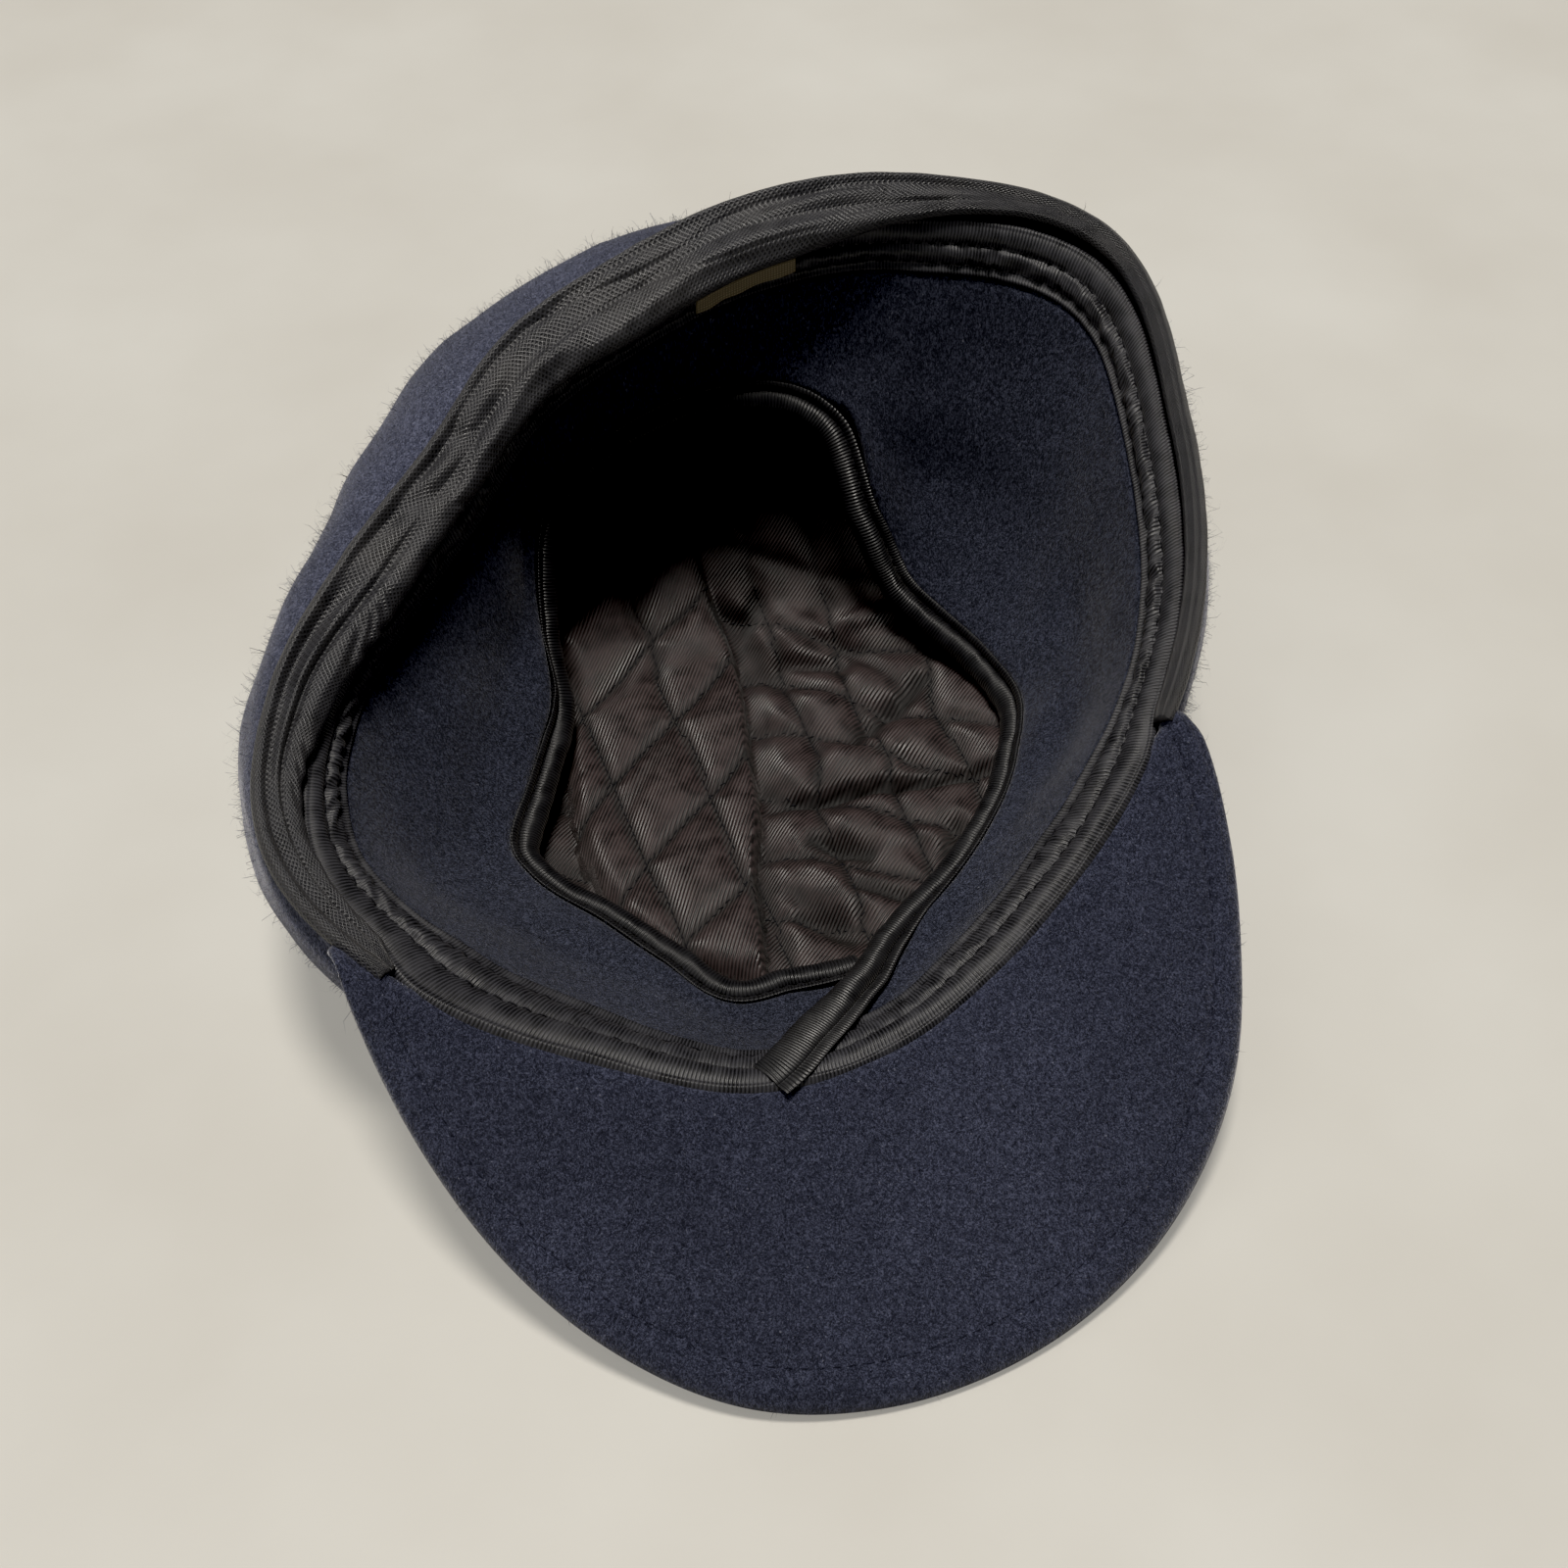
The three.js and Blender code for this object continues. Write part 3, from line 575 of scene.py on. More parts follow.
class Threads:
    """Gathers many small stitches or fibres into one mesh."""

    def __init__(self) -> None:
        """Starts with none."""
        self.points: list = []
        self.faces: list = []
        self.count = 0

    def _take(self, points: np.ndarray, pattern: list) -> None:
        """Adds one copy of a face pattern for each block of points.

        Args:
            points: blocks by points by 3.
            pattern: corners of each face, counted from a block's first point.
        """
        size = points.shape[1]
        for base in range(self.count, self.count + points.shape[0] * size, size):
            self.faces.extend([base + corner for corner in face] for face in pattern)
        self.points.append(points.reshape(-1, 3))
        self.count += points.shape[0] * size

    def stitches(self, path: np.ndarray, up: np.ndarray, sewing: Stitch) -> None:
        """Adds a row of stitches.

        Args:
            path: points of the row.
            up: the cloth's normal at each point.
            sewing: sizes of the stitches.
        """
        sides, look = 5, 0.6
        # Four rings along a stitch: place and thickness, as shares. Its ends dip into the cloth.
        rings = ((-0.5, 0.3), (-0.26, 0.95), (0.26, 0.95), (0.5, 0.3))
        run = lengths_along(path)
        count = max(int(run[-1] / sewing.pitch), 1)
        where = (np.arange(count) + 0.5) * run[-1] / count
        centre, rise, ahead, behind = (
            np.stack([np.interp(place, run, line[:, axis]) for axis in range(3)], axis=1)
            for place, line in ((where, path), (where, up), (where + look, path), (where - look, path)))
        lead, rise = unit(ahead - behind), unit(rise)
        side = np.cross(lead, rise)
        blocks = []
        for shift, swell in rings:
            dip = (0.3 if abs(shift) < 0.4 else -0.25) * sewing.width
            thick = swell * sewing.width / 2
            for angle in np.arange(sides) * 2 * np.pi / sides:
                blocks.append(centre + lead * shift * sewing.length + rise * (dip + math.sin(angle) * thick)
                              + side * math.cos(angle) * thick)
        last = (len(rings) - 1) * sides
        pattern = [[ring + k, ring + (k + 1) % sides, ring + sides + (k + 1) % sides, ring + sides + k]
                   for ring in range(0, last, sides) for k in range(sides)]
        ends = [list(range(sides))[::-1], list(range(last, last + sides))]
        self._take(np.stack(blocks, axis=1), pattern + ends)

    def nap(self, face: np.ndarray, away: np.ndarray, made: Nap, ring: bool = False) -> None:
        """Adds loose fibres that stand up from a cloth's face.

        Args:
            face: grid of points of the face.
            away: a direction, or a grid of them, on the side that the fibres stand.
            made: how many fibres, their sizes and the seed.
            ring: whether the grid closes along its first axis.
        """
        # Roots start inside the cloth, and no fibre goes through the floor.
        sunk, clear = 0.15, 0.02
        draw = np.random.default_rng(made.seed)
        count = made.fibres
        normal = normals_of(face, ring)
        normal = normal * np.sign(np.sum(normal * away))
        if ring:
            face, normal = (np.concatenate([grid, grid[:1]]) for grid in (face, normal))
        sides = [face[1:, :-1] - face[:-1, :-1], face[:-1, 1:] - face[:-1, :-1]]
        area = np.linalg.norm(np.cross(*sides), axis=-1).ravel()
        cell = draw.choice(area.size, count, p=area / area.sum())
        row, column = np.divmod(cell, face.shape[1] - 1)
        one, two = draw.random((2, count, 1))
        root, rise = (
            grid[row, column] * (1 - one) * (1 - two) + grid[row + 1, column] * one * (1 - two)
            + grid[row, column + 1] * (1 - one) * two + grid[row + 1, column + 1] * one * two
            for grid in (face, normal))
        rise = unit(rise)
        lean = unit(np.cross(rise, draw.normal(size=(count, 3))))
        reach = made.length * np.minimum(draw.lognormal(0, 0.45, (count, 1)), 2.0)
        lift = made.stand * draw.uniform(0.3, 1.5, (count, 1))
        bend = np.cross(rise, lean) * draw.normal(0, 0.35, (count, 1))
        middle = root + reach * (lean * 0.45 + rise * lift * 0.75)
        tip = root + reach * (lean + bend + rise * lift * draw.uniform(0.3, 1.1, (count, 1)))
        # Drawn 0.04 to 0.08 mm wide, coarser than wool's 0.02 mm, so that they show at this size.
        half = np.cross(rise, lean) * draw.uniform(0.02, 0.04, (count, 1))
        root = root - rise * sunk
        fibre = np.stack([root - half, root + half, middle + half, middle - half, tip], axis=1)
        fibre[..., 2] = np.maximum(fibre[..., 2], clear)
        self._take(fibre, [[0, 1, 2, 3], [3, 2, 4]])

    def build(self, name: str) -> bpy.types.Object:
        """One object of all that was added."""
        return mesh_piece(name, np.concatenate(self.points), self.faces)


def linear(code: str) -> tuple:
    """Linear colour, with alpha, of an sRGB hex value."""
    parts = [int(code[at:at + 2], 16) / 255 for at in (1, 3, 5)]
    return tuple(p / 12.92 if p <= 0.04045 else ((p + 0.055) / 1.055) ** 2.4 for p in parts) + (1.0,)


def new_material(name: str) -> tuple:
    """Material that has no nodes yet.

    Args:
        name: what the material is.

    Returns:
        The material and its node tree.
    """
    made = bpy.data.materials.new(name)
    made.use_nodes = True
    made.node_tree.nodes.clear()
    return made, made.node_tree


def node(tree: bpy.types.NodeTree, kind: str, links: Optional[dict] = None, **settings: Any) -> bpy.types.Node:
    """Adds a node with its settings and links.

    Args:
        tree: the material's node tree.
        kind: Blender's name of the node type.
        links: input name or number to a socket or a fixed value.
        settings: properties of the node.

    Returns:
        The new node.
    """
    made = tree.nodes.new(kind)
    for name, value in settings.items():
        setattr(made, name, value)
    for name, value in (links or {}).items():
        if isinstance(value, bpy.types.NodeSocket):
            tree.links.new(value, made.inputs[name])
        else:
            made.inputs[name].default_value = value
    return made


def ramp(tree: bpy.types.NodeTree, source: bpy.types.NodeSocket, stops: Sequence[tuple]) -> bpy.types.NodeSocket:
    """Colour ramp.

    Args:
        tree: the material's node tree.
        source: what picks the place on the ramp.
        stops: (place, hex) pairs, the two ends first and then any between them.

    Returns:
        The ramp's colour.
    """
    made = node(tree, "ShaderNodeValToRGB", {"Fac": source})
    for at, (place, code) in enumerate(stops):
        stop = made.color_ramp.elements[at] if at < 2 else made.color_ramp.elements.new(place)
        stop.position, stop.color = place, linear(code)
    return made.outputs["Color"]


def surface(made: bpy.types.Material, links: dict) -> bpy.types.Material:
    """Ends a material with its shader.

    Args:
        made: the material.
        links: the shader's inputs.

    Returns:
        The same material.
    """
    shader = node(made.node_tree, "ShaderNodeBsdfPrincipled", links)
    node(made.node_tree, "ShaderNodeOutputMaterial", {"Surface": shader.outputs["BSDF"]})
    return made


def wave_scale(pitch: float) -> float:
    """Scale of a wave texture for a pitch; at scale 1 it runs through 20 radians in each unit."""
    return 2 * math.pi / (20 * pitch)


class Wear(Enum):
    """How worn a cloth is."""

    FRESH = 0.25
    RUBBED = 1.0


class Weave(Enum):
    """Direction of the ribs on a satin: across its cut edge, slanted, or slanted both ways as a fine net."""

    CROSSWISE = 0.0
    SLANTED = 35.0
    NET = 52.0


@dataclass(frozen=True)
class WoolMelton:
    """Heavily milled navy wool: the weave is hidden under a matt, felted nap with stray pale fibres."""

    name: str = "wool melton, milled"
    shade: str = "#12141d"
    body: str = "#282b3a"
    lit: str = "#4b4f63"
    lint: str = "#9b9ca2"
    lint_share: float = 0.5
    # A fibre is about 0.02 mm thick; drawn 0.35 mm so that it shows in the render.
    fibre_mm: float = 0.35
    fibre_run_mm: float = 1.28
    clump_mm: float = 1.3
    cloud_mm: float = 30.0
    bloom: float = 0.95

    def material(self) -> bpy.types.Material:
        """The felted face: short fibres lying every way, a few of them pale.

        Returns:
            The new material.
        """
        made, tree = new_material(self.name)
        place = node(tree, "ShaderNodeTexCoord").outputs["Object"]
        thin, along = 1 / (self.fibre_mm * MM), 1 / (self.fibre_run_mm * MM)
        strands = []
        for slant in (18.0, 74.0, 131.0):
            lay = node(tree, "ShaderNodeMapping", {
                "Vector": place, "Rotation": (math.radians(slant), math.radians(slant / 2), math.radians(slant)),
                "Scale": (thin, thin, along)})
            strands.append(node(tree, "ShaderNodeTexNoise", {
                "Vector": lay.outputs["Vector"], "Scale": 1.0, "Detail": 1.5, "Roughness": 0.6,
                "Distortion": 0.8}).outputs["Fac"])
        most = node(tree, "ShaderNodeMath", {0: strands[0], 1: strands[1]}, operation="MAXIMUM")
        felt = node(tree, "ShaderNodeMath", {0: most.outputs[0], 1: strands[2]}, operation="MAXIMUM")
        clump = node(tree, "ShaderNodeTexNoise", {
            "Vector": place, "Scale": 1 / (self.clump_mm * MM), "Detail": 2.0, "Roughness": 0.6})
        cloud = node(tree, "ShaderNodeTexNoise", {"Vector": place, "Scale": 1 / (self.cloud_mm * MM), "Detail": 2.0})
        most_felt = node(tree, "ShaderNodeMath", {0: felt.outputs[0], 1: 0.85}, operation="MULTIPLY")
        tone = node(tree, "ShaderNodeMath", {
            0: clump.outputs["Fac"], 1: 0.15, 2: most_felt.outputs[0]}, operation="MULTIPLY_ADD")
        colour = ramp(tree, tone.outputs[0], ((0.40, self.shade), (0.64, self.lit), (0.55, self.body)))
        fade = node(tree, "ShaderNodeMapRange", {
            "Value": cloud.outputs["Fac"], "From Min": 0.3, "From Max": 0.7, "To Min": 0.86, "To Max": 1.12})
        shaded = node(tree, "ShaderNodeMix", {0: 1.0, 6: colour, 7: fade.outputs[0]},
                      data_type="RGBA", blend_type="MULTIPLY")
        stray = node(tree, "ShaderNodeMath", {0: strands[1], 1: strands[2]}, operation="MULTIPLY")
        pale = node(tree, "ShaderNodeMapRange", {
            "Value": stray.outputs[0], "From Min": 0.42, "From Max": 0.5, "To Min": 0.0, "To Max": self.lint_share})
        final = node(tree, "ShaderNodeMix", {0: pale.outputs[0], 6: shaded.outputs[2], 7: linear(self.lint)},
                     data_type="RGBA")
        bump = node(tree, "ShaderNodeBump", {"Height": tone.outputs[0], "Strength": 0.75, "Distance": 0.5 * MM})
        return surface(made, {
            "Base Color": final.outputs[2], "Roughness": 0.92, "IOR": 1.5, "Specular IOR Level": 0.15,
            "Sheen Weight": self.bloom, "Sheen Roughness": 0.36, "Sheen Tint": linear("#c6c6cc"),
            "Normal": bump.outputs["Normal"]})


@dataclass(frozen=True)
class Satin:
    """Acetate satin: long floats give a broad soft gloss, with fine ribs that break it up."""

    name: str = "acetate satin, ribbed"
    dark: str = "#191818"
    body: str = "#282727"
    # A satin's rib is about 0.5 mm wide; drawn 0.7 mm or more so that it shows in the render.
    rib_mm: float = 0.7
    slub_mm: float = 3.5
    cloud_mm: float = 14.0
    weave: Weave = Weave.CROSSWISE
    wear: Wear = Wear.FRESH
    gloss: float = 0.48
    shine: float = 0.5
    quilted: bool = False

    def material(self) -> bpy.types.Material:
        """Ribs, slubs and rubbed pale dust on a glossy cloth.

        Returns:
            The new material.
        """
        made, tree = new_material(self.name)
        cloth = node(tree, "ShaderNodeUVMap", uv_map="cloth").outputs["UV"]
        place = node(tree, "ShaderNodeTexCoord").outputs["Object"]
        ribs = []
        for way in (1, -1) if self.weave is Weave.NET else (1,):
            laid = node(tree, "ShaderNodeMapping", {
                "Vector": cloth, "Rotation": (0, 0, way * math.radians(self.weave.value))})
            ribs.append(node(tree, "ShaderNodeTexWave", {
                "Vector": laid.outputs["Vector"], "Scale": wave_scale(self.rib_mm), "Distortion": 0.6,
                "Detail": 1.0, "Detail Scale": 0.6}, bands_direction="X").outputs["Fac"])
        rib = node(tree, "ShaderNodeMath", {0: ribs[0], 1: ribs[-1]}, operation="MAXIMUM").outputs[0]
        slub = node(tree, "ShaderNodeTexNoise", {"Vector": place, "Scale": 1 / (self.slub_mm * MM), "Detail": 3.0})
        cloud = node(tree, "ShaderNodeTexNoise", {"Vector": place, "Scale": 1 / (self.cloud_mm * MM), "Detail": 2.0})
        blend = node(tree, "ShaderNodeMath", {0: rib, 1: 0.55, 2: slub.outputs["Fac"]}, operation="MULTIPLY_ADD")
        colour = ramp(tree, blend.outputs[0], ((0.45, self.dark), (1.0, self.body)))
        rough = node(tree, "ShaderNodeMapRange", {
            "Value": slub.outputs["Fac"], "From Min": 0.3, "From Max": 0.7, "To Min": self.gloss - 0.07,
            "To Max": self.gloss + 0.1}).outputs[0]
        if self.quilted:
            # Pulled down at its seams, the satin looks duller there; the darkening towards near black at its seams,
            # in its creases and in low places is painted shade.
            sunk = node(tree, "ShaderNodeAttribute", attribute_name="sunk").outputs["Fac"]
            colour = node(tree, "ShaderNodeMix", {0: sunk, 6: colour, 7: linear("#050404")},
                          data_type="RGBA").outputs[2]
            rough = node(tree, "ShaderNodeMath", {0: sunk, 1: 0.4, 2: rough}, operation="MULTIPLY_ADD").outputs[0]
        dust = node(tree, "ShaderNodeMapRange", {
            "Value": cloud.outputs["Fac"], "From Min": 0.5, "From Max": 0.75, "To Min": 0.0,
            "To Max": 0.06 * self.wear.value})
        dusty = node(tree, "ShaderNodeMix", {0: dust.outputs[0], 6: colour, 7: linear("#8f8a80")}, data_type="RGBA")
        height = node(tree, "ShaderNodeMath", {0: slub.outputs["Fac"], 1: 0.5, 2: rib}, operation="MULTIPLY_ADD")
        bump = node(tree, "ShaderNodeBump", {"Height": height.outputs[0], "Strength": 0.8, "Distance": 0.22 * MM})
        floats = node(tree, "ShaderNodeTangent", direction_type="UV_MAP", uv_map="cloth")
        return surface(made, {
            "Base Color": dusty.outputs[2], "Roughness": rough, "IOR": 1.5, "Specular IOR Level": self.shine,
            "Anisotropic": 0.6, "Tangent": floats.outputs["Tangent"], "Sheen Weight": 0.08, "Sheen Roughness": 0.35,
            "Sheen Tint": linear("#b8b2aa"), "Normal": bump.outputs["Normal"]})


@dataclass(frozen=True)
class WovenLabel:
    """Taffeta label: flat tan weave with a visible square grid of threads."""

    name: str = "label taffeta, woven"
    light: str = "#a89a7c"
    dark: str = "#756a52"
    # A label's threads lie about 0.2 mm apart; drawn 0.6 mm so that they show in the render.
    thread_mm: float = 0.6

    def material(self) -> bpy.types.Material:
        """Crossing threads, matt.

        Returns:
            The new material.
        """
        made, tree = new_material(self.name)
        cloth = node(tree, "ShaderNodeUVMap", uv_map="cloth").outputs["UV"]
        waves = [node(tree, "ShaderNodeTexWave", {"Vector": cloth, "Scale": wave_scale(self.thread_mm)},
                      bands_direction=way).outputs["Fac"] for way in ("X", "Y")]
        grid = node(tree, "ShaderNodeMath", {0: waves[0], 1: waves[1]}, operation="MULTIPLY")
        colour = ramp(tree, grid.outputs[0], ((0.1, self.dark), (0.8, self.light)))
        bump = node(tree, "ShaderNodeBump", {"Height": grid.outputs[0], "Strength": 0.4, "Distance": 0.15 * MM})
        return surface(made, {
            "Base Color": colour, "Roughness": 0.75, "Specular IOR Level": 0.3, "Normal": bump.outputs["Normal"]})


@dataclass(frozen=True)
class SewingThread:
    """Spun polyester sewing thread: a twisted strand with a dull gloss."""

    name: str = "spun polyester thread"
    dark: str = "#0f0f12"
    body: str = "#1f1f24"
    twist_mm: float = 0.5

    def material(self) -> bpy.types.Material:
        """Twist drawn as fine light and dark along the strand.

        Returns:
            The new material.
        """
        made, tree = new_material(self.name)
        place = node(tree, "ShaderNodeTexCoord").outputs["Object"]
        twist = node(tree, "ShaderNodeTexNoise", {"Vector": place, "Scale": 1 / (self.twist_mm * MM), "Detail": 2.0})
        colour = ramp(tree, twist.outputs["Fac"], ((0.3, self.dark), (0.7, self.body)))
        bump = node(tree, "ShaderNodeBump", {"Height": twist.outputs["Fac"], "Strength": 0.3, "Distance": 0.1 * MM})
        return surface(made, {
            "Base Color": colour, "Roughness": 0.85, "Specular IOR Level": 0.15, "Normal": bump.outputs["Normal"]})


@dataclass(frozen=True)
class FloorPaint:
    """Pale floor paint, almost even; its own glow stands for the room's light that keeps shadows thin."""

    name: str = "floor paint, rolled"
    light: str = "#a3a19b"
    dark: str = "#9c9992"
    cloud_mm: float = 90.0
    stipple_mm: float = 2.5
    glow: float = 0.8

    def material(self) -> bpy.types.Material:
        """Soft cloudiness over a roller's fine stipple.

        Returns:
            The new material.
        """
        made, tree = new_material(self.name)
        place = node(tree, "ShaderNodeTexCoord").outputs["Object"]
        cloud, stipple = (
            node(tree, "ShaderNodeTexNoise", {"Vector": place, "Scale": 1 / (size * MM), "Detail": detail})
            for size, detail in ((self.cloud_mm, 4.0), (self.stipple_mm, 3.0)))
        colour = ramp(tree, cloud.outputs["Fac"], ((0.3, self.dark), (0.7, self.light)))
        bump = node(tree, "ShaderNodeBump", {
            "Height": stipple.outputs["Fac"], "Strength": 0.1, "Distance": 0.2 * MM})
        return surface(made, {
            "Base Color": colour, "Roughness": 0.5, "Specular IOR Level": 0.35, "Normal": bump.outputs["Normal"],
            "Emission Color": colour, "Emission Strength": self.glow})


def fit(piece: bpy.types.Object, cloth: bpy.types.Material, slot: str, *nodes: str) -> bpy.types.Object:
    """Gives a piece its cloth and puts it in the place of its solid.

    Args:
        piece: the built object.
        cloth: its material.
        slot: not used.
        nodes: solids that it stands for.

    Returns:
        The same object.
    """
    piece.data.materials.append(cloth)
    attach(piece, "root")
    if nodes:
        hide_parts(*nodes)
    LOG.info("%s: %d faces", piece.name, len(piece.data.polygons))
    return piece


@dataclass
class CapForm:
    """The rim and the surfaces that every piece is set out from."""

    wool: float = 2.2
    gap: float = 0.3
    foot: float = 42.0
    hem: float = 0.5
    flap_seat: float = 1.6
    reach: Curve = curve_of(RIM, "reach", 360)
    rise: Curve = curve_of(RIM, "rise", 360)
    bulge: Curve = curve_of(RIM, "bulge", 360)
    drop: Curve = curve_of(RIM, "drop", 360)
    seat: Curve = curve_of(RIM, "seat", 360)
    round: Curve = curve_of(RIM, "round", 360)
    out_in: Curve = curve_of(BAND, "out_in", 360)
    out_drop: Curve = curve_of(BAND, "out_drop", 360)
    in_in: Curve = curve_of(BAND, "in_in", 360)
    in_drop: Curve = curve_of(BAND, "in_drop", 360)

    def fold_out(self, turn: np.ndarray) -> np.ndarray:
        """How far the crown's folds push its wall out.

        Args:
            turn: turns round the opening.

        Returns:
            The push at each turn.
        """
        out = np.zeros_like(turn)
        for row in CROWN_FOLDS:
            away = np.mod(turn - row.turn + 180, 360) - 180
            out += row.out * bell(away, row.spread)
        return out

    def wall(self, turn: np.ndarray, part: np.ndarray, depth: float) -> np.ndarray:
        """Points of the crown's wall.

        Args:
            turn: turns round the opening.
            part: 0 hem, 1 widest line, 2 edge of the resting face, 3 its middle.
            depth: how far inside the outer face.

        Returns:
            The points.
        """
        turn, part = np.broadcast_arrays(np.asarray(turn, float), np.asarray(part, float))
        hem, top = self.reach(turn) - self.hem, self.rise(turn) - self.seat(turn)
        wide, level = self.reach(turn) + self.bulge(turn) - depth, self.rise(turn) - self.drop(turn)
        fold = self.fold_out(turn)
        upper = np.clip(part, 0, 1) * np.pi / 2
        lower = np.clip(part - 1, 0, 1) * np.pi / 2
        power = 2 / self.round(turn)
        flat = np.abs(np.cos(lower)) ** power
        reach = np.where(part <= 1, hem + (wide - hem) * np.sin(upper) + fold * np.sin(upper) ** 2,
                         self.foot + (wide - self.foot + fold * np.cos(lower)) * flat)
        rise = np.where(part <= 1, level + (top - depth - level) * np.cos(upper),
                        depth + (level - depth) * (1 - np.sin(lower) ** power))
        reach = np.where(part > 2, self.foot * (3 - part), reach)
        return spot(turn, reach, np.where(part > 2, depth, rise))

    def flap_root(self, turn: np.ndarray) -> np.ndarray:
        """Where the flap leaves the band."""
        rise = self.rise(turn) - self.in_drop(turn) - self.flap_seat
        return spot(turn, self.reach(turn) - self.in_in(turn), rise)


@dataclass
class Crown:
    """Wool crown and its quilted lining."""

    form: CapForm
    stations: int = 320
    rows: int = 56
    upper_rows: int = 18
    soft_fold: float = 0.9
    soft_fold_pitch: float = 34.0
    usual_reach: float = 90.0
    usual_height: float = 40.0
    nap: Nap = Nap(24000, 1.1, 0.4, 21)
    nap_rows: tuple = (0, 44)
    long_nap: Nap = Nap(8000, 2.2, 0.7, 22)
    long_nap_rows: tuple = (3, 30)
    quilt: float = 2.4
    quilt_cell: float = 1.1
    quilt_half: float = 112.0
    quilt_top: float = 1.167
    puff: float = 2.0
    puff_run: float = 2.3
    seen: float = 66.0
    spare_left: float = 0.14
    spare_right: float = 0.34
    push: float = 2.0
    frames: int = 18
    lowest: float = -0.8
    tallest: float = 12.5
    panel_height: float = 8.0
    slack_height: float = 2.6
    drift: float = 0.9
    drift_pitch: float = 38.0
    stitch: Stitch = Stitch(2.1, 1.6, 0.3)
    pad_left: Curve = curve_of(PAD_LEFT, "x")
    pad_right: Curve = curve_of(PAD_RIGHT, "x")

    def shell(self, wool: bpy.types.Material) -> bpy.types.Object:
        """Wool crown from its hem to the resting face, softly uneven, with its nap.

        Args:
            wool: its cloth.

        Returns:
            The crown.
        """
        turn = np.linspace(-180, 180, self.stations, endpoint=False)[:, None]
        upper = np.linspace(0, 1, self.upper_rows)
        lower = np.linspace(1, 2, self.rows - self.upper_rows)[1:]
        part = np.concatenate([upper, lower, [2.3, 2.7, 2.97]])[None]
        face = self.form.wall(turn, part, 0.0)
        back = self.form.wall(turn, part, self.form.wool)
        girth = np.radians(turn) * self.usual_reach
        uneven = Ripple(11)(girth / self.soft_fold_pitch, part * self.usual_height / self.soft_fold_pitch)
        swell = self.soft_fold * (0.5 + 0.5 * np.clip(uneven, -1, 1))
        swell = swell * smooth(part, 0.1, 0.6) * (1 - smooth(part, 1.5, 1.95))
        out = unit(face * np.array([1, 1, 0]))
        face = face + out * swell[..., None]
        piece = fit(swept("wool_crown", slab_loops(face, back), True), wool, "wool", "crown_shell")
        threads = Threads()
        for made, rows in ((self.nap, self.nap_rows), (self.long_nap, self.long_nap_rows)):
            threads.nap(face[:, slice(*rows)], out[:, slice(*rows)], made, True)
        fit(threads.build("crown_nap"), wool, "wool", "crown_shell")
        return piece

    def lining_grid(self) -> tuple:
        """Flat places of the lining's cells and the same places set out in the crown.

        Returns:
            Flat x and y, points of the lining's face, its normals, and which points lie in the crown.
        """
        form, spokes, stops = self.form, 361, 160
        turn = np.linspace(-180, 180, spokes)
        part = np.concatenate([[3.0], np.linspace(2, self.quilt_top, 60)])
        line = form.wall(turn[:, None], part[None], form.wool + form.gap + self.quilt)
        steps = np.linalg.norm(np.diff(line, axis=1), axis=-1)
        run = np.concatenate([np.zeros((spokes, 1)), np.cumsum(steps, 1)], 1)
        axis = np.arange(-self.quilt_half, self.quilt_half + 0.1, self.quilt_cell)
        x, y = np.meshgrid(axis, axis, indexing="ij")
        far = np.hypot(x, y)
        around = np.degrees(np.arctan2(x, -y))
        low = np.clip(np.floor(around + 180).astype(int), 0, spokes - 2)
        share = (around + 180 - low)[..., None]
        evenly = np.linspace(0, run.max(), stops)
        even = np.stack([[np.interp(evenly, run[at], line[at, :, way]) for way in range(3)]
                         for at in range(spokes)]).transpose(0, 2, 1)
        place = far / run.max() * (stops - 1)
        inner = np.clip(np.floor(place).astype(int), 0, stops - 2)
        rest = np.clip(place - inner, 0, 1)[..., None]
        flat = np.stack([np.hypot(even[..., 0], even[..., 1]), even[..., 2]], axis=-1)
        both = [flat[low + k, inner] * (1 - rest) + flat[low + k, inner + 1] * rest for k in (0, 1)]
        polar = both[0] * (1 - share) + both[1] * share
        points = spot(around, polar[..., 0], polar[..., 1])
        limit = np.interp(around, turn, run[:, -1])
        return x, y, points, upward(normals_of(points, False)), far < limit

    def lift(self, x: np.ndarray, y: np.ndarray) -> np.ndarray:
        """Height of the raised panel and the creases above the plain lining.

        Args:
            x: flat places from left to right.
            y: flat places from front to back.

        Returns:
            The heights.
        """
        right, left = self.pad_right(y) - x, x - self.pad_left(y)
        dome = 0.6 + 0.4 * np.clip(left / np.maximum(left + right, 1), 0, 1)
        ends = smooth(y, -56, -36) * (1 - smooth(y, 50, 78))
        height = self.panel_height * smooth(right, -0.4, 1.8) * smooth(left, -1, 3.5) * dome * ends
        height = height + self.slack_height * smooth(-right, 0.5, 7) * (1 - smooth(np.hypot(x, y), 52, 66))
        for row in CREASES:
            part, across = row.along(x, y)
            height = height + row.height * arch(part, 0.7) * bell(across, row.width)
        return height

    def on_panel(self, x: np.ndarray, y: np.ndarray) -> np.ndarray:
        """Whether places belong to the raised left panel."""
        return (self.pad_right(y) > x) & (self.pad_left(y) < x)

    def wander(self, x: np.ndarray, y: np.ndarray) -> np.ndarray:
        """How far the quilting seams stray from straight lines."""
        return SEAM_DRIFT(x / self.drift_pitch, y / self.drift_pitch) * self.drift

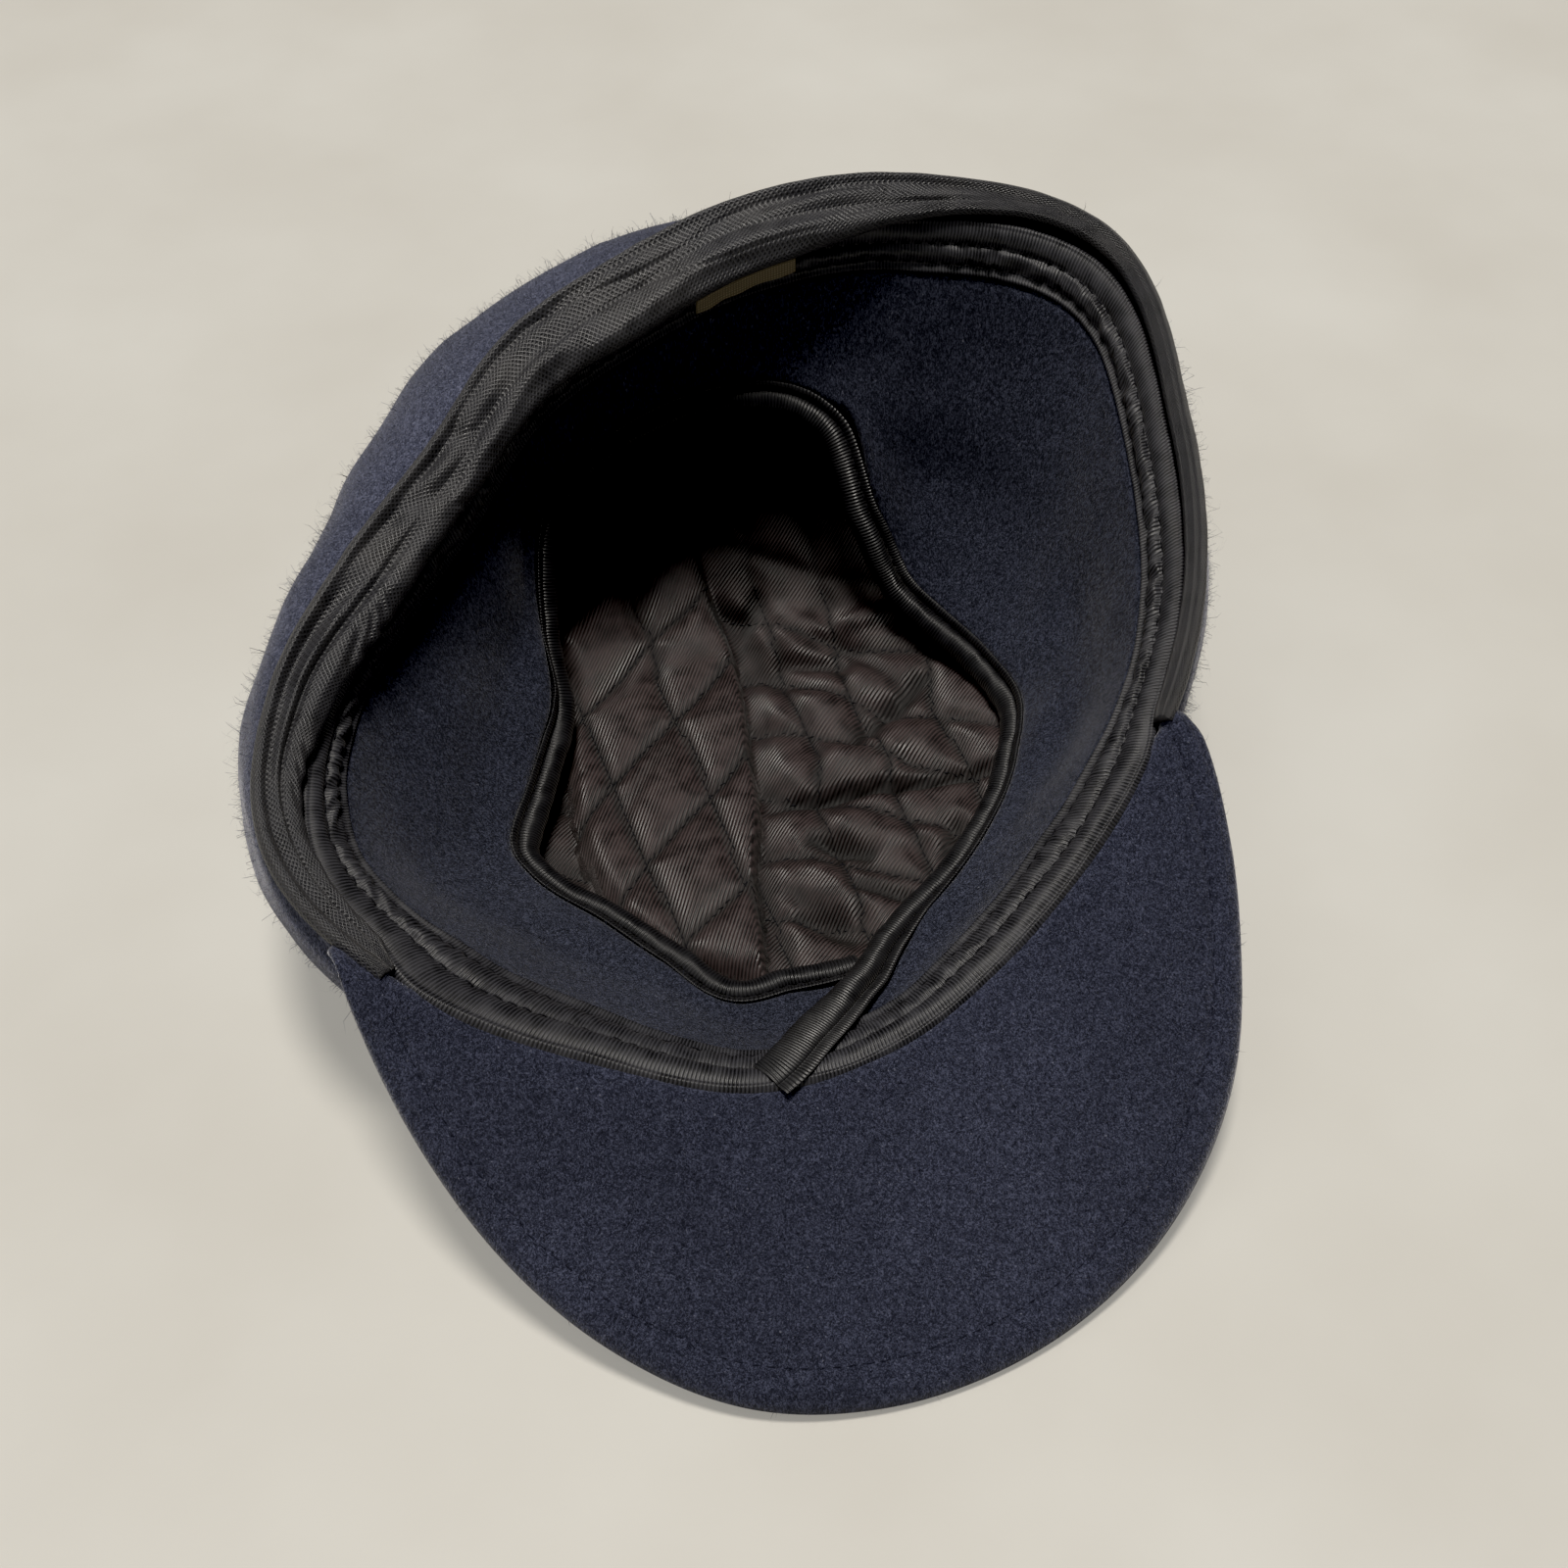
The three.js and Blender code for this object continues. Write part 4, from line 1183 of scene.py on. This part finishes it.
    def seam_distance(self, x: np.ndarray, y: np.ndarray) -> np.ndarray:
        """Distance to the nearest quilting seam; the two panels have their own diamonds.

        Args:
            x: flat places from left to right.
            y: flat places from front to back.

        Returns:
            The distances.
        """
        near = np.full(x.shape, 1e3)
        stray = self.wander(x, y)
        for row in SEAMS:
            one, other = (x, y) if row.steep else (y, x)
            value = one - row.start - row.slope * other - stray
            away = np.abs(np.mod(value / row.pitch + 0.5, 1) - 0.5) * row.pitch / math.hypot(1, row.slope)
            near = np.where(self.on_panel(x, y) == row.raised, np.minimum(near, away), near)
        return near

    def seam_lines(self) -> list:
        """Flat places along every quilting seam, cut at the panel's edge and where the flap hides them.

        Returns:
            x and y along each stretch of a seam.
        """
        lines = []
        run = np.arange(-70, 70, 0.8)
        for row in SEAMS:
            for count in range(-9, 10):
                straight = row.start + row.slope * run + count * row.pitch
                x, y = (straight, run) if row.steep else (run, straight)
                # Three rounds bring the line to where the straying seam really runs.
                for _ in range(3):
                    cross = straight + self.wander(x, y)
                    x, y = (cross, run) if row.steep else (run, cross)
                keep = (np.hypot(x, y) < self.seen) & (self.on_panel(x, y) == row.raised)
                for part in np.split(np.arange(run.size), np.nonzero(np.diff(keep))[0] + 1):
                    if keep[part[0]] and part.size > 6:
                        lines.append((x[part], y[part]))
        return lines

    def sewn(self, x: np.ndarray, y: np.ndarray, seam: np.ndarray) -> np.ndarray:
        """Which places are held down: the seams, the deep creases and the part that the flap hides.

        Args:
            x: flat places from left to right.
            y: flat places from front to back.
            seam: distance to the nearest seam.

        Returns:
            Whether each place is held.
        """
        near = self.quilt_cell * 0.55
        held = (seam < near) | (np.hypot(x, y) > self.seen + 12)
        for row in CREASES:
            part, across = row.along(x, y)
            held |= (row.height < -2.9) & (part > 0.04) & (part < 0.96) & (np.abs(across) < near)
        return held

    def sunk(self, x: np.ndarray, y: np.ndarray, seam: np.ndarray, rise: np.ndarray) -> np.ndarray:
        """Painted shade for the satin at its seams, in its creases and in low places, where shade falls; it also
        makes the satin duller there.

        Args:
            x: flat places from left to right.
            y: flat places from front to back.
            seam: distance to the nearest seam.
            rise: height above the plain lining.

        Returns:
            Shares from 0 to 1.
        """
        # Painted shade: darkest on the seams, and darker wherever the lining lies low above its base.
        sunk = np.maximum(0.9 * bell(seam, 1.0), 0.6 * (1 - smooth(rise, 0.6, 3.4)))
        for row in CREASES:
            part, across = row.along(x, y)
            along = smooth(part, 0.0, 0.12) * (1 - smooth(part, 0.88, 1.0))
            deep = min(1.0, max(0.0, -row.height / 3.5))
            sunk = np.maximum(sunk, along * deep * bell(across, 2.6))
        return sunk

    def lining(self, satin: bpy.types.Material, thread: bpy.types.Material) -> bpy.types.Object:
        """Quilted lining: the padding puffs it up between its seams, and the right panel lies in creases.

        Args:
            satin: its cloth.
            thread: what it is quilted with.

        Returns:
            The lining.
        """
        x, y, points, normal, inside = self.lining_grid()
        seam = self.seam_distance(x, y)
        height = self.lift(x, y) + self.puff * (1 - np.exp(-(seam / self.puff_run) ** 1.1))
        back = points - normal * self.quilt
        total = int(inside.sum())
        numbers = np.full(x.shape, -1)
        numbers[inside] = np.arange(total)
        whole = inside[:-1, :-1] & inside[1:, :-1] & inside[1:, 1:] & inside[:-1, 1:]
        i, j = np.nonzero(whole)
        corners = ((i, j), (i + 1, j), (i + 1, j + 1), (i, j + 1))
        top = np.stack([numbers[c] for c in corners], axis=1)
        face = points + normal * height[..., None]
        held = self.sewn(x, y, seam)
        spare = np.where(self.on_panel(x, y), self.spare_left, self.spare_right)
        face[inside] = settle(face[inside], top.tolist(), held[inside], spare[inside], self.push, self.frames)
        rise = np.sum((face - points) * normal, axis=-1)
        face = face + normal * (np.clip(rise, self.lowest, self.tallest) - rise)[..., None]
        under = top[:, ::-1] + total
        rim = [[two, one, one + total, two + total] for one, two in open_edges(top.tolist())]
        # The right panel's cloth is turned by about 160 degrees, so that its floats shine another way.
        cos, sin = -0.94, 0.34
        turned = np.stack([cos * x + sin * y, cos * y - sin * x], -1)
        flat = np.where(self.on_panel(x, y)[..., None], np.stack([x, y], -1), turned)
        cloth = np.stack([flat[c] for c in corners], axis=1)
        corners_cloth = np.concatenate([
            cloth.reshape(-1, 2), cloth[:, ::-1].reshape(-1, 2), np.zeros((4 * len(rim), 2))])
        piece = mesh_piece("quilted_lining", np.concatenate([face[inside], back[inside]]),
                           top.tolist() + under.tolist() + rim, corners_cloth)
        # Painted shade at the seams, creases and low places, handed to the satin as the vertex attribute sunk.
        layer = piece.data.attributes.new("sunk", "FLOAT", "POINT")
        sunk = self.sunk(x, y, seam, rise)[inside]
        layer.data.foreach_set("value", np.tile(sunk, 2).astype(np.float32))
        fit(facing_out(piece), satin, "quilted_satin", "crown_lining")
        threads = Threads()
        axis = x[:, 0]
        for line in self.seam_lines():
            row, column = (np.clip(np.round((value - axis[0]) / self.quilt_cell).astype(int), 0, axis.size - 1)
                           for value in line)
            threads.stitches(face[row, column], normal[row, column], self.stitch)
        fit(threads.build("quilting_stitches"), thread, "quilted_satin", "crown_lining")
        return piece


@dataclass
class Peak:
    """Stiff wool peak with its row of topstitching."""

    form: CapForm
    stiff: float = 4.2
    stations: int = 200
    rows: int = 48
    lift: float = 0.3
    edge_in: float = 0.9
    edge_round: float = 0.5
    edge_span: float = 1.6
    stitch_in: float = 5.6
    groove: float = 0.35
    groove_width: float = 0.9
    stitch: Stitch = Stitch(2.8, 1.8, 0.3)
    nap_above: Nap = Nap(22000, 1.3, 0.4, 41)
    nap_below: Nap = Nap(7333, 1.3, 0.4, 42)
    reach: Curve = curve_of(PEAK_EDGE, "reach")
    rise: Curve = curve_of(PEAK_EDGE, "rise")

    def build(self, wool: bpy.types.Material, thread: bpy.types.Material) -> bpy.types.Object:
        """Peak from the rim to its rounded edge, stitched along it.

        Args:
            wool: its cloth.
            thread: what it is stitched with.

        Returns:
            The peak.
        """
        form = self.form
        turn = np.linspace(PEAK_EDGE[0].turn, PEAK_EDGE[-1].turn, self.stations)[:, None]
        root, tip = form.reach(turn) + form.gap, self.reach(turn) - self.edge_in
        low, high = form.rise(turn) + self.lift, self.rise(turn)
        part = np.linspace(0, 1, self.rows)[None]
        span = tip - root
        inside = (1 - part) * np.hypot(span, high - low)
        rounded = self.edge_round * (1 - smooth(inside, 0.0, self.edge_span))
        dent = self.groove * bell(inside - self.stitch_in, self.groove_width) + rounded
        under = self.stiff - dent - rounded
        face = spot(turn, root + span * part, low + (high - low) * part - dent)
        back = spot(turn, root + span * part, low + (high - low) * part - under)
        piece = fit(swept("wool_peak", slab_loops(face, back), False), wool, "wool", "peak")
        at = np.argmin(np.abs(inside - self.stitch_in), axis=1)
        rows = np.arange(self.stations)
        threads = Threads()
        normal = upward(normals_of(face, False))
        line = slice(2, self.stations - 2)
        for skin, away in ((face, normal), (back, -normal)):
            threads.stitches(skin[rows, at][line], away[rows, at][line], self.stitch)
        fit(threads.build("peak_topstitch"), thread, "wool", "peak")
        fibres = Threads()
        fibres.nap(face, np.array([0, 0, 1]), self.nap_above)
        fibres.nap(back, np.array([0, 0, -1]), self.nap_below)
        fit(fibres.build("peak_nap"), wool, "wool", "peak")
        return piece


@dataclass
class RimTrim:
    """Inner band, gathered rim binding and label."""

    form: CapForm
    tape: float = 1.6
    satin: float = 2.0
    band_stations: int = 560
    band_rows: int = 40
    band_arch: float = 0.7
    band_sewn: tuple = (0.48, 0.85)
    band_stitch: Stitch = Stitch(2.9, 2.0, 0.34)
    pucker: float = 2.9
    pull: float = 4.2
    binding_stations: int = 620
    binding_rows: int = 44
    label_from: float = 154.0
    label_to: float = 170.0
    label_drop: float = 3.2
    label_cloth: float = 0.8
    width: Curve = curve_of(BINDING, "width")
    lean: Curve = curve_of(BINDING, "lean")
    gather: Curve = curve_of(BINDING, "gather")

    def band(self, tape: bpy.types.Material, thread: bpy.types.Material) -> bpy.types.Object:
        """Tape inside the rim: a smooth roll at the join, two puckered rows of stitches, a thin edge.

        Args:
            tape: its cloth.
            thread: what it is sewn with.

        Returns:
            The band.
        """
        form = self.form
        turn = np.linspace(-180, 180, self.band_stations, endpoint=False)[:, None]
        reach, rise = form.reach(turn), form.rise(turn)
        outer = spot(turn, reach - form.out_in(turn) - self.tape / 2, rise - form.out_drop(turn))
        inner = spot(turn, reach - form.in_in(turn), rise - form.in_drop(turn))
        part = np.linspace(0, 1, self.band_rows)[None, :, None]
        line = outer * (1 - part) + inner * part
        line[..., 2] += self.band_arch * (4 * part * (1 - part))[..., 0]
        normal = upward(normals_of(line, True))
        p = part[..., 0]
        middle = line[:, self.band_rows // 2]
        run = lengths_along(np.concatenate([middle, middle[:1]]))[:-1, None]
        first, second = self.band_sewn
        front = 1 - smooth(np.abs(turn), 46, 70)
        tight = 1 + 1.6 * smooth(turn, 66, 90) * (1 - smooth(turn, 128, 140)) + 0.8 * (1 - smooth(turn, -66, -52))
        # The roll at the join, its outer lip, the roll between the stitches and the thin edge.
        height = (0.45 + 1.0 * front) * arch((p - 0.05) / (first - 0.05), 0.9)
        height = height + 0.6 * front * bell(p - 0.025, 0.025)
        height = height + 0.8 * arch((p - first) / (second - first))
        height = height + 0.5 * bell(p - 0.965, 0.03)
        # Puckers at each stitch, slanted pulls between the two rows, and a little unevenness.
        phase = run / self.pucker + 0.25 * Ripple(51)(run / 30, p * 0)
        near = sum(bell(p - row, 0.06) for row in self.band_sewn)
        height = height + near * (0.16 * np.cos(2 * np.pi * phase) - 0.3)
        between = smooth(p, first - 0.1, first + 0.1) * (1 - smooth(p, second - 0.08, second + 0.06))
        slanted = phase * self.pucker / self.pull + 0.7 * p + 0.35 * Ripple(52)(run / 18, p)
        pulls = 0.27 * np.cos(2 * np.pi * slanted) + 0.06 * Ripple(54)(run / 5, p * 3)
        height = height + tight * between * pulls
        height = height + 0.12 * Ripple(53)(run / 22, p * 1.2)
        face = line + normal * (self.tape / 2 + height)[..., None]
        back = line - normal * self.tape / 2
        piece = fit(swept("taped_band", slab_loops(face, back), True), tape, "twill_tape", "inner_band")
        threads = Threads()
        for row in self.band_sewn:
            at = int(round(row * (self.band_rows - 1)))
            threads.stitches(face[:, at], normal[:, at], self.band_stitch)
        fit(threads.build("band_stitches"), thread, "twill_tape", "inner_band")
        return piece

    def binding(self, satin: bpy.types.Material) -> bpy.types.Object:
        """Gathered satin over the rim: three rolls at the left, long loose folds at the back, thin at the right.

        Args:
            satin: its cloth.

        Returns:
            The binding.
        """
        form = self.form
        turn = np.linspace(BINDING[0].turn, BINDING[-1].turn, self.binding_stations)[:, None]
        reach, rise = form.reach(turn), form.rise(turn)
        p = np.linspace(0, 1, self.binding_rows)[None]
        width = self.width(turn)
        run = lengths_along(spot(turn[:, 0], reach[:, 0], rise[:, 0]))[:, None]
        loose = self.gather(turn)
        firm = (1 - smooth(loose, 0.15, 0.8)) * smooth(width, 4.5, 9)
        wander = 0.04 * Ripple(61)(run / 90, p * 0) * 4 * p * (1 - p)
        across = p * width
        # Outer piping, and at the left a valley, a middle roll and a crease beside it.
        height = 0.9 * bell(across - 0.9, 0.8) - 0.9 * firm * bell(p - 0.30 - wander, 0.13)
        height = height + 1.3 * firm * bell(p - 0.54 - wander, 0.08) - 0.8 * firm * bell(p - 0.67 - wander, 0.045)
        # Inner roll, puckered where it is firm.
        start = 0.55 + 0.13 * firm
        inner = arch((p - start - wander) / (1.07 - start), 0.8)
        height = height + (0.5 + 1.1 * smooth(width, 5, 12)) * inner
        pucker = np.cos(2 * np.pi * (run / 9.5 + 1.3 * p + 0.6 * Ripple(65)(run / 25, p)))
        height = height + 0.3 * firm * inner * pucker
        # Long folds, creases and slanted pulls where it is loose.
        open_part = smooth(p, 0.08, 0.24) * (1 - 0.4 * smooth(p, 0.85, 1))
        height = height + 0.5 * loose * open_part * Ripple(62)(run / 60, across / 5.6 + run / 120)
        crease = np.abs(Ripple(63)(run / 70, across / 8.5 - run / 160))
        height = height - 0.45 * loose * open_part * bell(crease, 0.2)
        for row in PULLS:
            away = run - np.interp(-row.turn, -turn[:, 0], run[:, 0]) - row.slant * (across - width / 2)
            height = height + row.height * open_part * bell(away, row.width)
        height = height + 0.05 * Ripple(64)(run / 9, across / 5)
        line = spot(turn, reach - p * width, rise - self.lean(turn) * p ** 1.6)
        normal = upward(normals_of(line, False))
        face = line + normal * (self.satin / 2 + height)[..., None]
        back = line + normal * (np.minimum(height, 0.2) - self.satin / 2)[..., None]
        piece = fit(swept("satin_rim_binding", slab_loops(face, back), False), satin, "satin", "rim_binding")
        return piece

    def label(self, cloth: bpy.types.Material) -> bpy.types.Object:
        """Bare woven label below the binding's inner edge.

        Args:
            cloth: its weave.

        Returns:
            The label.
        """
        form = self.form
        turn = np.linspace(self.label_from, self.label_to, 40)[:, None]
        reach = form.reach(turn) - self.width(turn - 360)
        rise = form.rise(turn) - self.lean(turn - 360) - self.satin / 2 - form.gap - 0.3
        part = np.linspace(0, 1, 10)[None]
        line = spot(turn, reach + 0.6 + 0.4 * part, rise - self.label_drop * part)
        out = unit(line * np.array([1, 1, 0]))
        wave = 0.15 * Ripple(71)(turn / 6, part)
        face = line - out * (self.label_cloth / 2 + wave)[..., None]
        back = line + out * (self.label_cloth / 2 - wave)[..., None]
        piece = fit(swept("bare_label", slab_loops(face, back), False), cloth, "woven_label", "label")
        return piece


@dataclass
class Flap:
    """Wool earflap folded inside and the satin binding on its free edge."""

    form: CapForm
    cloth: float = 3.0
    end: float = -353.0
    stations: int = 460
    rows: int = 44
    lap: float = 11.0
    sag: float = 0.08
    wave: float = 0.55
    wave_pitch: float = 38.0
    roll_width: float = 6.4
    roll_gap: float = 0.45
    roll_stations: int = 640
    nap: Nap = Nap(16000, 1.3, 0.4, 82)
    stitch: Stitch = Stitch(2.4, 1.7, 0.3)
    reach: Curve = curve_of(FLAP_EDGE, "reach")
    rise: Curve = curve_of(FLAP_EDGE, "rise")
    roll_reach: Curve = curve_of(FLAP_EDGE + BINDING_TAIL, "reach")
    roll_rise: Curve = curve_of(FLAP_EDGE + BINDING_TAIL, "rise")

    def build(self, wool: bpy.types.Material) -> bpy.types.Object:
        """Wool from the band to the binding, sagging a little, with its nap.

        Args:
            wool: its cloth.

        Returns:
            The flap.
        """
        turn = np.linspace(FLAP_EDGE[0].turn, self.end, self.stations)
        root = self.form.flap_root(turn - self.lap * smooth(-turn, 330, 353))
        root[:, 2] -= 1.1 * self.cloth * smooth(turn, -14, -4)
        edge = spot(turn, self.reach(turn), self.rise(turn))
        beside = spot(turn - 0.5, self.reach(turn - 0.5), self.rise(turn - 0.5)) - edge
        slope = root - edge
        length = np.linalg.norm(slope, axis=1)
        slant = np.linalg.norm(np.cross(unit(beside), unit(slope)), axis=1)
        inset = (self.roll_width / 2 + self.roll_gap + self.cloth / 3) / np.maximum(slant, 0.3) / length
        part = np.linspace(0, 1, self.rows)[None, :, None]
        line = root[:, None] + (edge - root)[:, None] * part * (1 - inset)[:, None, None]
        p = part[..., 0]
        line[..., 2] -= self.sag * length[:, None] * np.sin(np.pi * p)
        normal = upward(normals_of(line, False))
        run = lengths_along(line[:, self.rows // 2])[:, None]
        uneven = Ripple(81)(run / self.wave_pitch, p * length[:, None] / self.wave_pitch)
        wave = self.wave * uneven * np.sin(np.pi * p)
        face = line + normal * (self.cloth / 2 + wave)[..., None]
        back = line - normal * (self.cloth / 2 - wave)[..., None]
        piece = fit(swept("wool_earflap", slab_loops(face, back), False), wool, "wool", "earflap")
        fibres = Threads()
        fibres.nap(face, np.array([0, 0, 1]), self.nap)
        fit(fibres.build("earflap_nap"), wool, "wool", "earflap")
        return piece

    def binding(self, satin: bpy.types.Material, thread: bpy.types.Material) -> bpy.types.Object:
        """Satin rolled over the edge: a full roll, a stitched groove and a thin flat margin on the wool's side.

        Args:
            satin: its cloth.
            thread: what it is stitched with.

        Returns:
            The binding.
        """
        turn = np.linspace(FLAP_EDGE[0].turn, BINDING_TAIL[-1].turn, self.roll_stations)
        path = spot(turn, self.roll_reach(turn), self.roll_rise(turn))
        along = unit(np.gradient(path, axis=0))
        out = unit(np.cross(np.array([0.0, 0.0, 1.0]), along))
        slope = self.form.flap_root(turn) - path
        tail = smooth(-turn, 352, 362)
        out[:, 2] += slope[:, 2] / np.linalg.norm(slope[:, :2], axis=1) * (1 - tail)
        out = unit(out - along * np.sum(along * out, axis=1, keepdims=True))
        up = upward(np.cross(along, out))
        run = lengths_along(path)[:, None]
        bend = np.radians(np.linspace(16, 262, 26))
        roll = np.stack([-0.4 + 2.8 * np.cos(bend), 0.75 + 2.75 * np.sin(bend)], axis=1)
        across, height = np.concatenate([FLAP_MARGIN, roll, FLAP_UNDER]).T
        full = np.concatenate([np.zeros(6), np.sin(np.linspace(0, np.pi, 27)) ** 0.6, np.zeros(5)])
        swell = 0.09 * Ripple(91)(run / 26, np.arange(across.size)[None] / 30) * full
        swell = swell + 0.06 * Ripple(92)(run / 7 + across[None] / 9, across[None] / 14) * full
        # The tail at the front is pressed flat and sewn down over the band.
        flat = smooth(-turn, 359, 371)
        press = (1 - 0.7 * flat)[:, None]
        spread = (1 + 0.15 * flat)[:, None]
        path = path - np.array([0, 0, 1.0]) * (1.3 * flat + 0.9 * smooth(-turn, 371, 379))[:, None]
        loops = (path[:, None] + out[:, None] * (across * spread + swell * np.cos(across))[..., None]
                 + up[:, None] * ((height + swell) * press)[..., None])
        piece = fit(swept("satin_flap_binding", loops, False), satin, "satin", "flap_binding")
        threads = Threads()
        sewn = slice(4, -36)
        threads.stitches((path + out * 2.3 + up * 1.65)[sewn], up[sewn], self.stitch)
        fit(threads.build("flap_binding_stitches"), thread, "satin", "flap_binding")
        return piece


class Lamp(NamedTuple):
    """A far window: where its light comes from, how wide it looks in degrees, and how strong it is."""

    name: str
    source: tuple
    spread: float
    strength: float
    tint: str


@dataclass
class Studio:
    """Floor, soft light from behind and the camera."""

    floor_half: float = 1500.0
    floor_level: float = -0.15
    target: tuple = (-0.003, -0.025, 0.045)
    azimuth: float = -20.0
    elevation: float = 48.0
    distance: float = 0.405
    field_of_view: float = 40.0
    lamps: tuple = (
        Lamp("window behind", (-0.02, 0.2, 2.2), 14.0, 2.75, "#fffaf2"),
        Lamp("window at the left", (-0.8, 0.2, 1.3), 50.0, 0.4, "#fffcf6"))
    black_point: float = 0.0042
    sky: str = "#c9cdd4"
    sky_strength: float = 0.075

    def floor(self, paint: bpy.types.Material) -> None:
        """Plain pale floor.

        Args:
            paint: its finish.
        """
        half, level = self.floor_half, self.floor_level
        corners = [(x * half, y * half, level) for x, y in ((-1, -1), (1, -1), (1, 1), (-1, 1))]
        plane = mesh_piece("floor", np.array(corners), [[0, 1, 2, 3]])
        plane.data.materials.append(paint)

    def light(self) -> None:
        """Two large windows and an even sky."""
        for row in self.lamps:
            lamp = bpy.data.lights.new(row.name, "SUN")
            lamp.energy = row.strength
            lamp.angle = math.radians(row.spread)
            lamp.color = linear(row.tint)[:3]
            holder = bpy.data.objects.new(row.name, lamp)
            holder.rotation_mode = "QUATERNION"
            holder.rotation_quaternion = (-Vector(row.source)).to_track_quat("-Z", "Y")
            bpy.context.scene.collection.objects.link(holder)
        world = bpy.data.worlds.new("studio")
        world.use_nodes = True
        world.node_tree.nodes["Background"].inputs["Color"].default_value = linear(self.sky)
        world.node_tree.nodes["Background"].inputs["Strength"].default_value = self.sky_strength
        bpy.context.scene.world = world

    def camera(self) -> None:
        """Camera above the peak, looking into the head opening."""
        turn, tilt = math.radians(self.azimuth), math.radians(self.elevation)
        back = Vector((math.sin(turn) * math.cos(tilt), -math.cos(turn) * math.cos(tilt), math.sin(tilt)))
        lens = bpy.data.cameras.new("camera")
        lens.lens = lens.sensor_width / 2 / math.tan(math.radians(self.field_of_view / 2))
        lens.clip_start = 0.01
        holder = bpy.data.objects.new("camera", lens)
        holder.location = Vector(self.target) + back * self.distance
        holder.rotation_mode = "QUATERNION"
        holder.rotation_quaternion = (-back).to_track_quat("-Z", "Y")
        bpy.context.scene.collection.objects.link(holder)
        bpy.context.scene.camera = holder
        view = bpy.context.scene.view_settings
        view.view_transform = "Standard"
        view.use_curve_mapping = True
        view.curve_mapping.black_level = (self.black_point,) * 3
        view.curve_mapping.update()


def main() -> None:
    """Builds the cap piece by piece, then the floor, light and camera."""
    logging.basicConfig(level=logging.INFO, format="%(name)s %(message)s")
    wool = WoolMelton().material()
    satin = Satin(wear=Wear.RUBBED, weave=Weave.NET, dark="#0a0a0c", body="#37373b", gloss=0.46,
                  shine=0.7).material()
    edge_satin = Satin(name="acetate satin, edge binding", dark="#060607", body="#212124", gloss=0.42,
                       shine=0.55).material()
    # A darker copy of the same wool for the flap inside the crown: its darker colours are painted shade.
    shaded_wool = WoolMelton(name="wool melton, shaded copy", shade="#0c0d14", body="#20232e", lit="#464a5b",
                         bloom=0.35).material()
    # A lighter copy of the same wool for the crown's outside: its lighter colours are painted light.
    lit_wool = WoolMelton(name="wool melton, lit copy", shade="#1b1d28", body="#383c4e", lit="#666a80",
                         bloom=1.0).material()
    tape = Satin(name="acetate satin, taped", dark="#0b0b0d", body="#404045", gloss=0.47, shine=0.6).material()
    lining_satin = Satin(name="acetate satin, quilted", dark="#0d0a0a", body="#453a3a", rib_mm=0.75,
                         weave=Weave.SLANTED, gloss=0.43, shine=0.6, quilted=True).material()
    thread = SewingThread().material()
    navy_thread = SewingThread(name="spun polyester thread, navy", dark="#14151e", body="#242736").material()
    label = WovenLabel().material()
    form = CapForm()
    crown = Crown(form)
    crown.shell(lit_wool)
    crown.lining(lining_satin, thread)
    Peak(form).build(wool, navy_thread)
    trim = RimTrim(form)
    trim.band(tape, thread)
    trim.binding(satin)
    trim.label(label)
    flap = Flap(form)
    flap.build(shaded_wool)
    flap.binding(edge_satin, thread)
    studio = Studio()
    studio.floor(FloorPaint().material())
    studio.light()
    studio.camera()


if __name__ == "__main__":
    main()
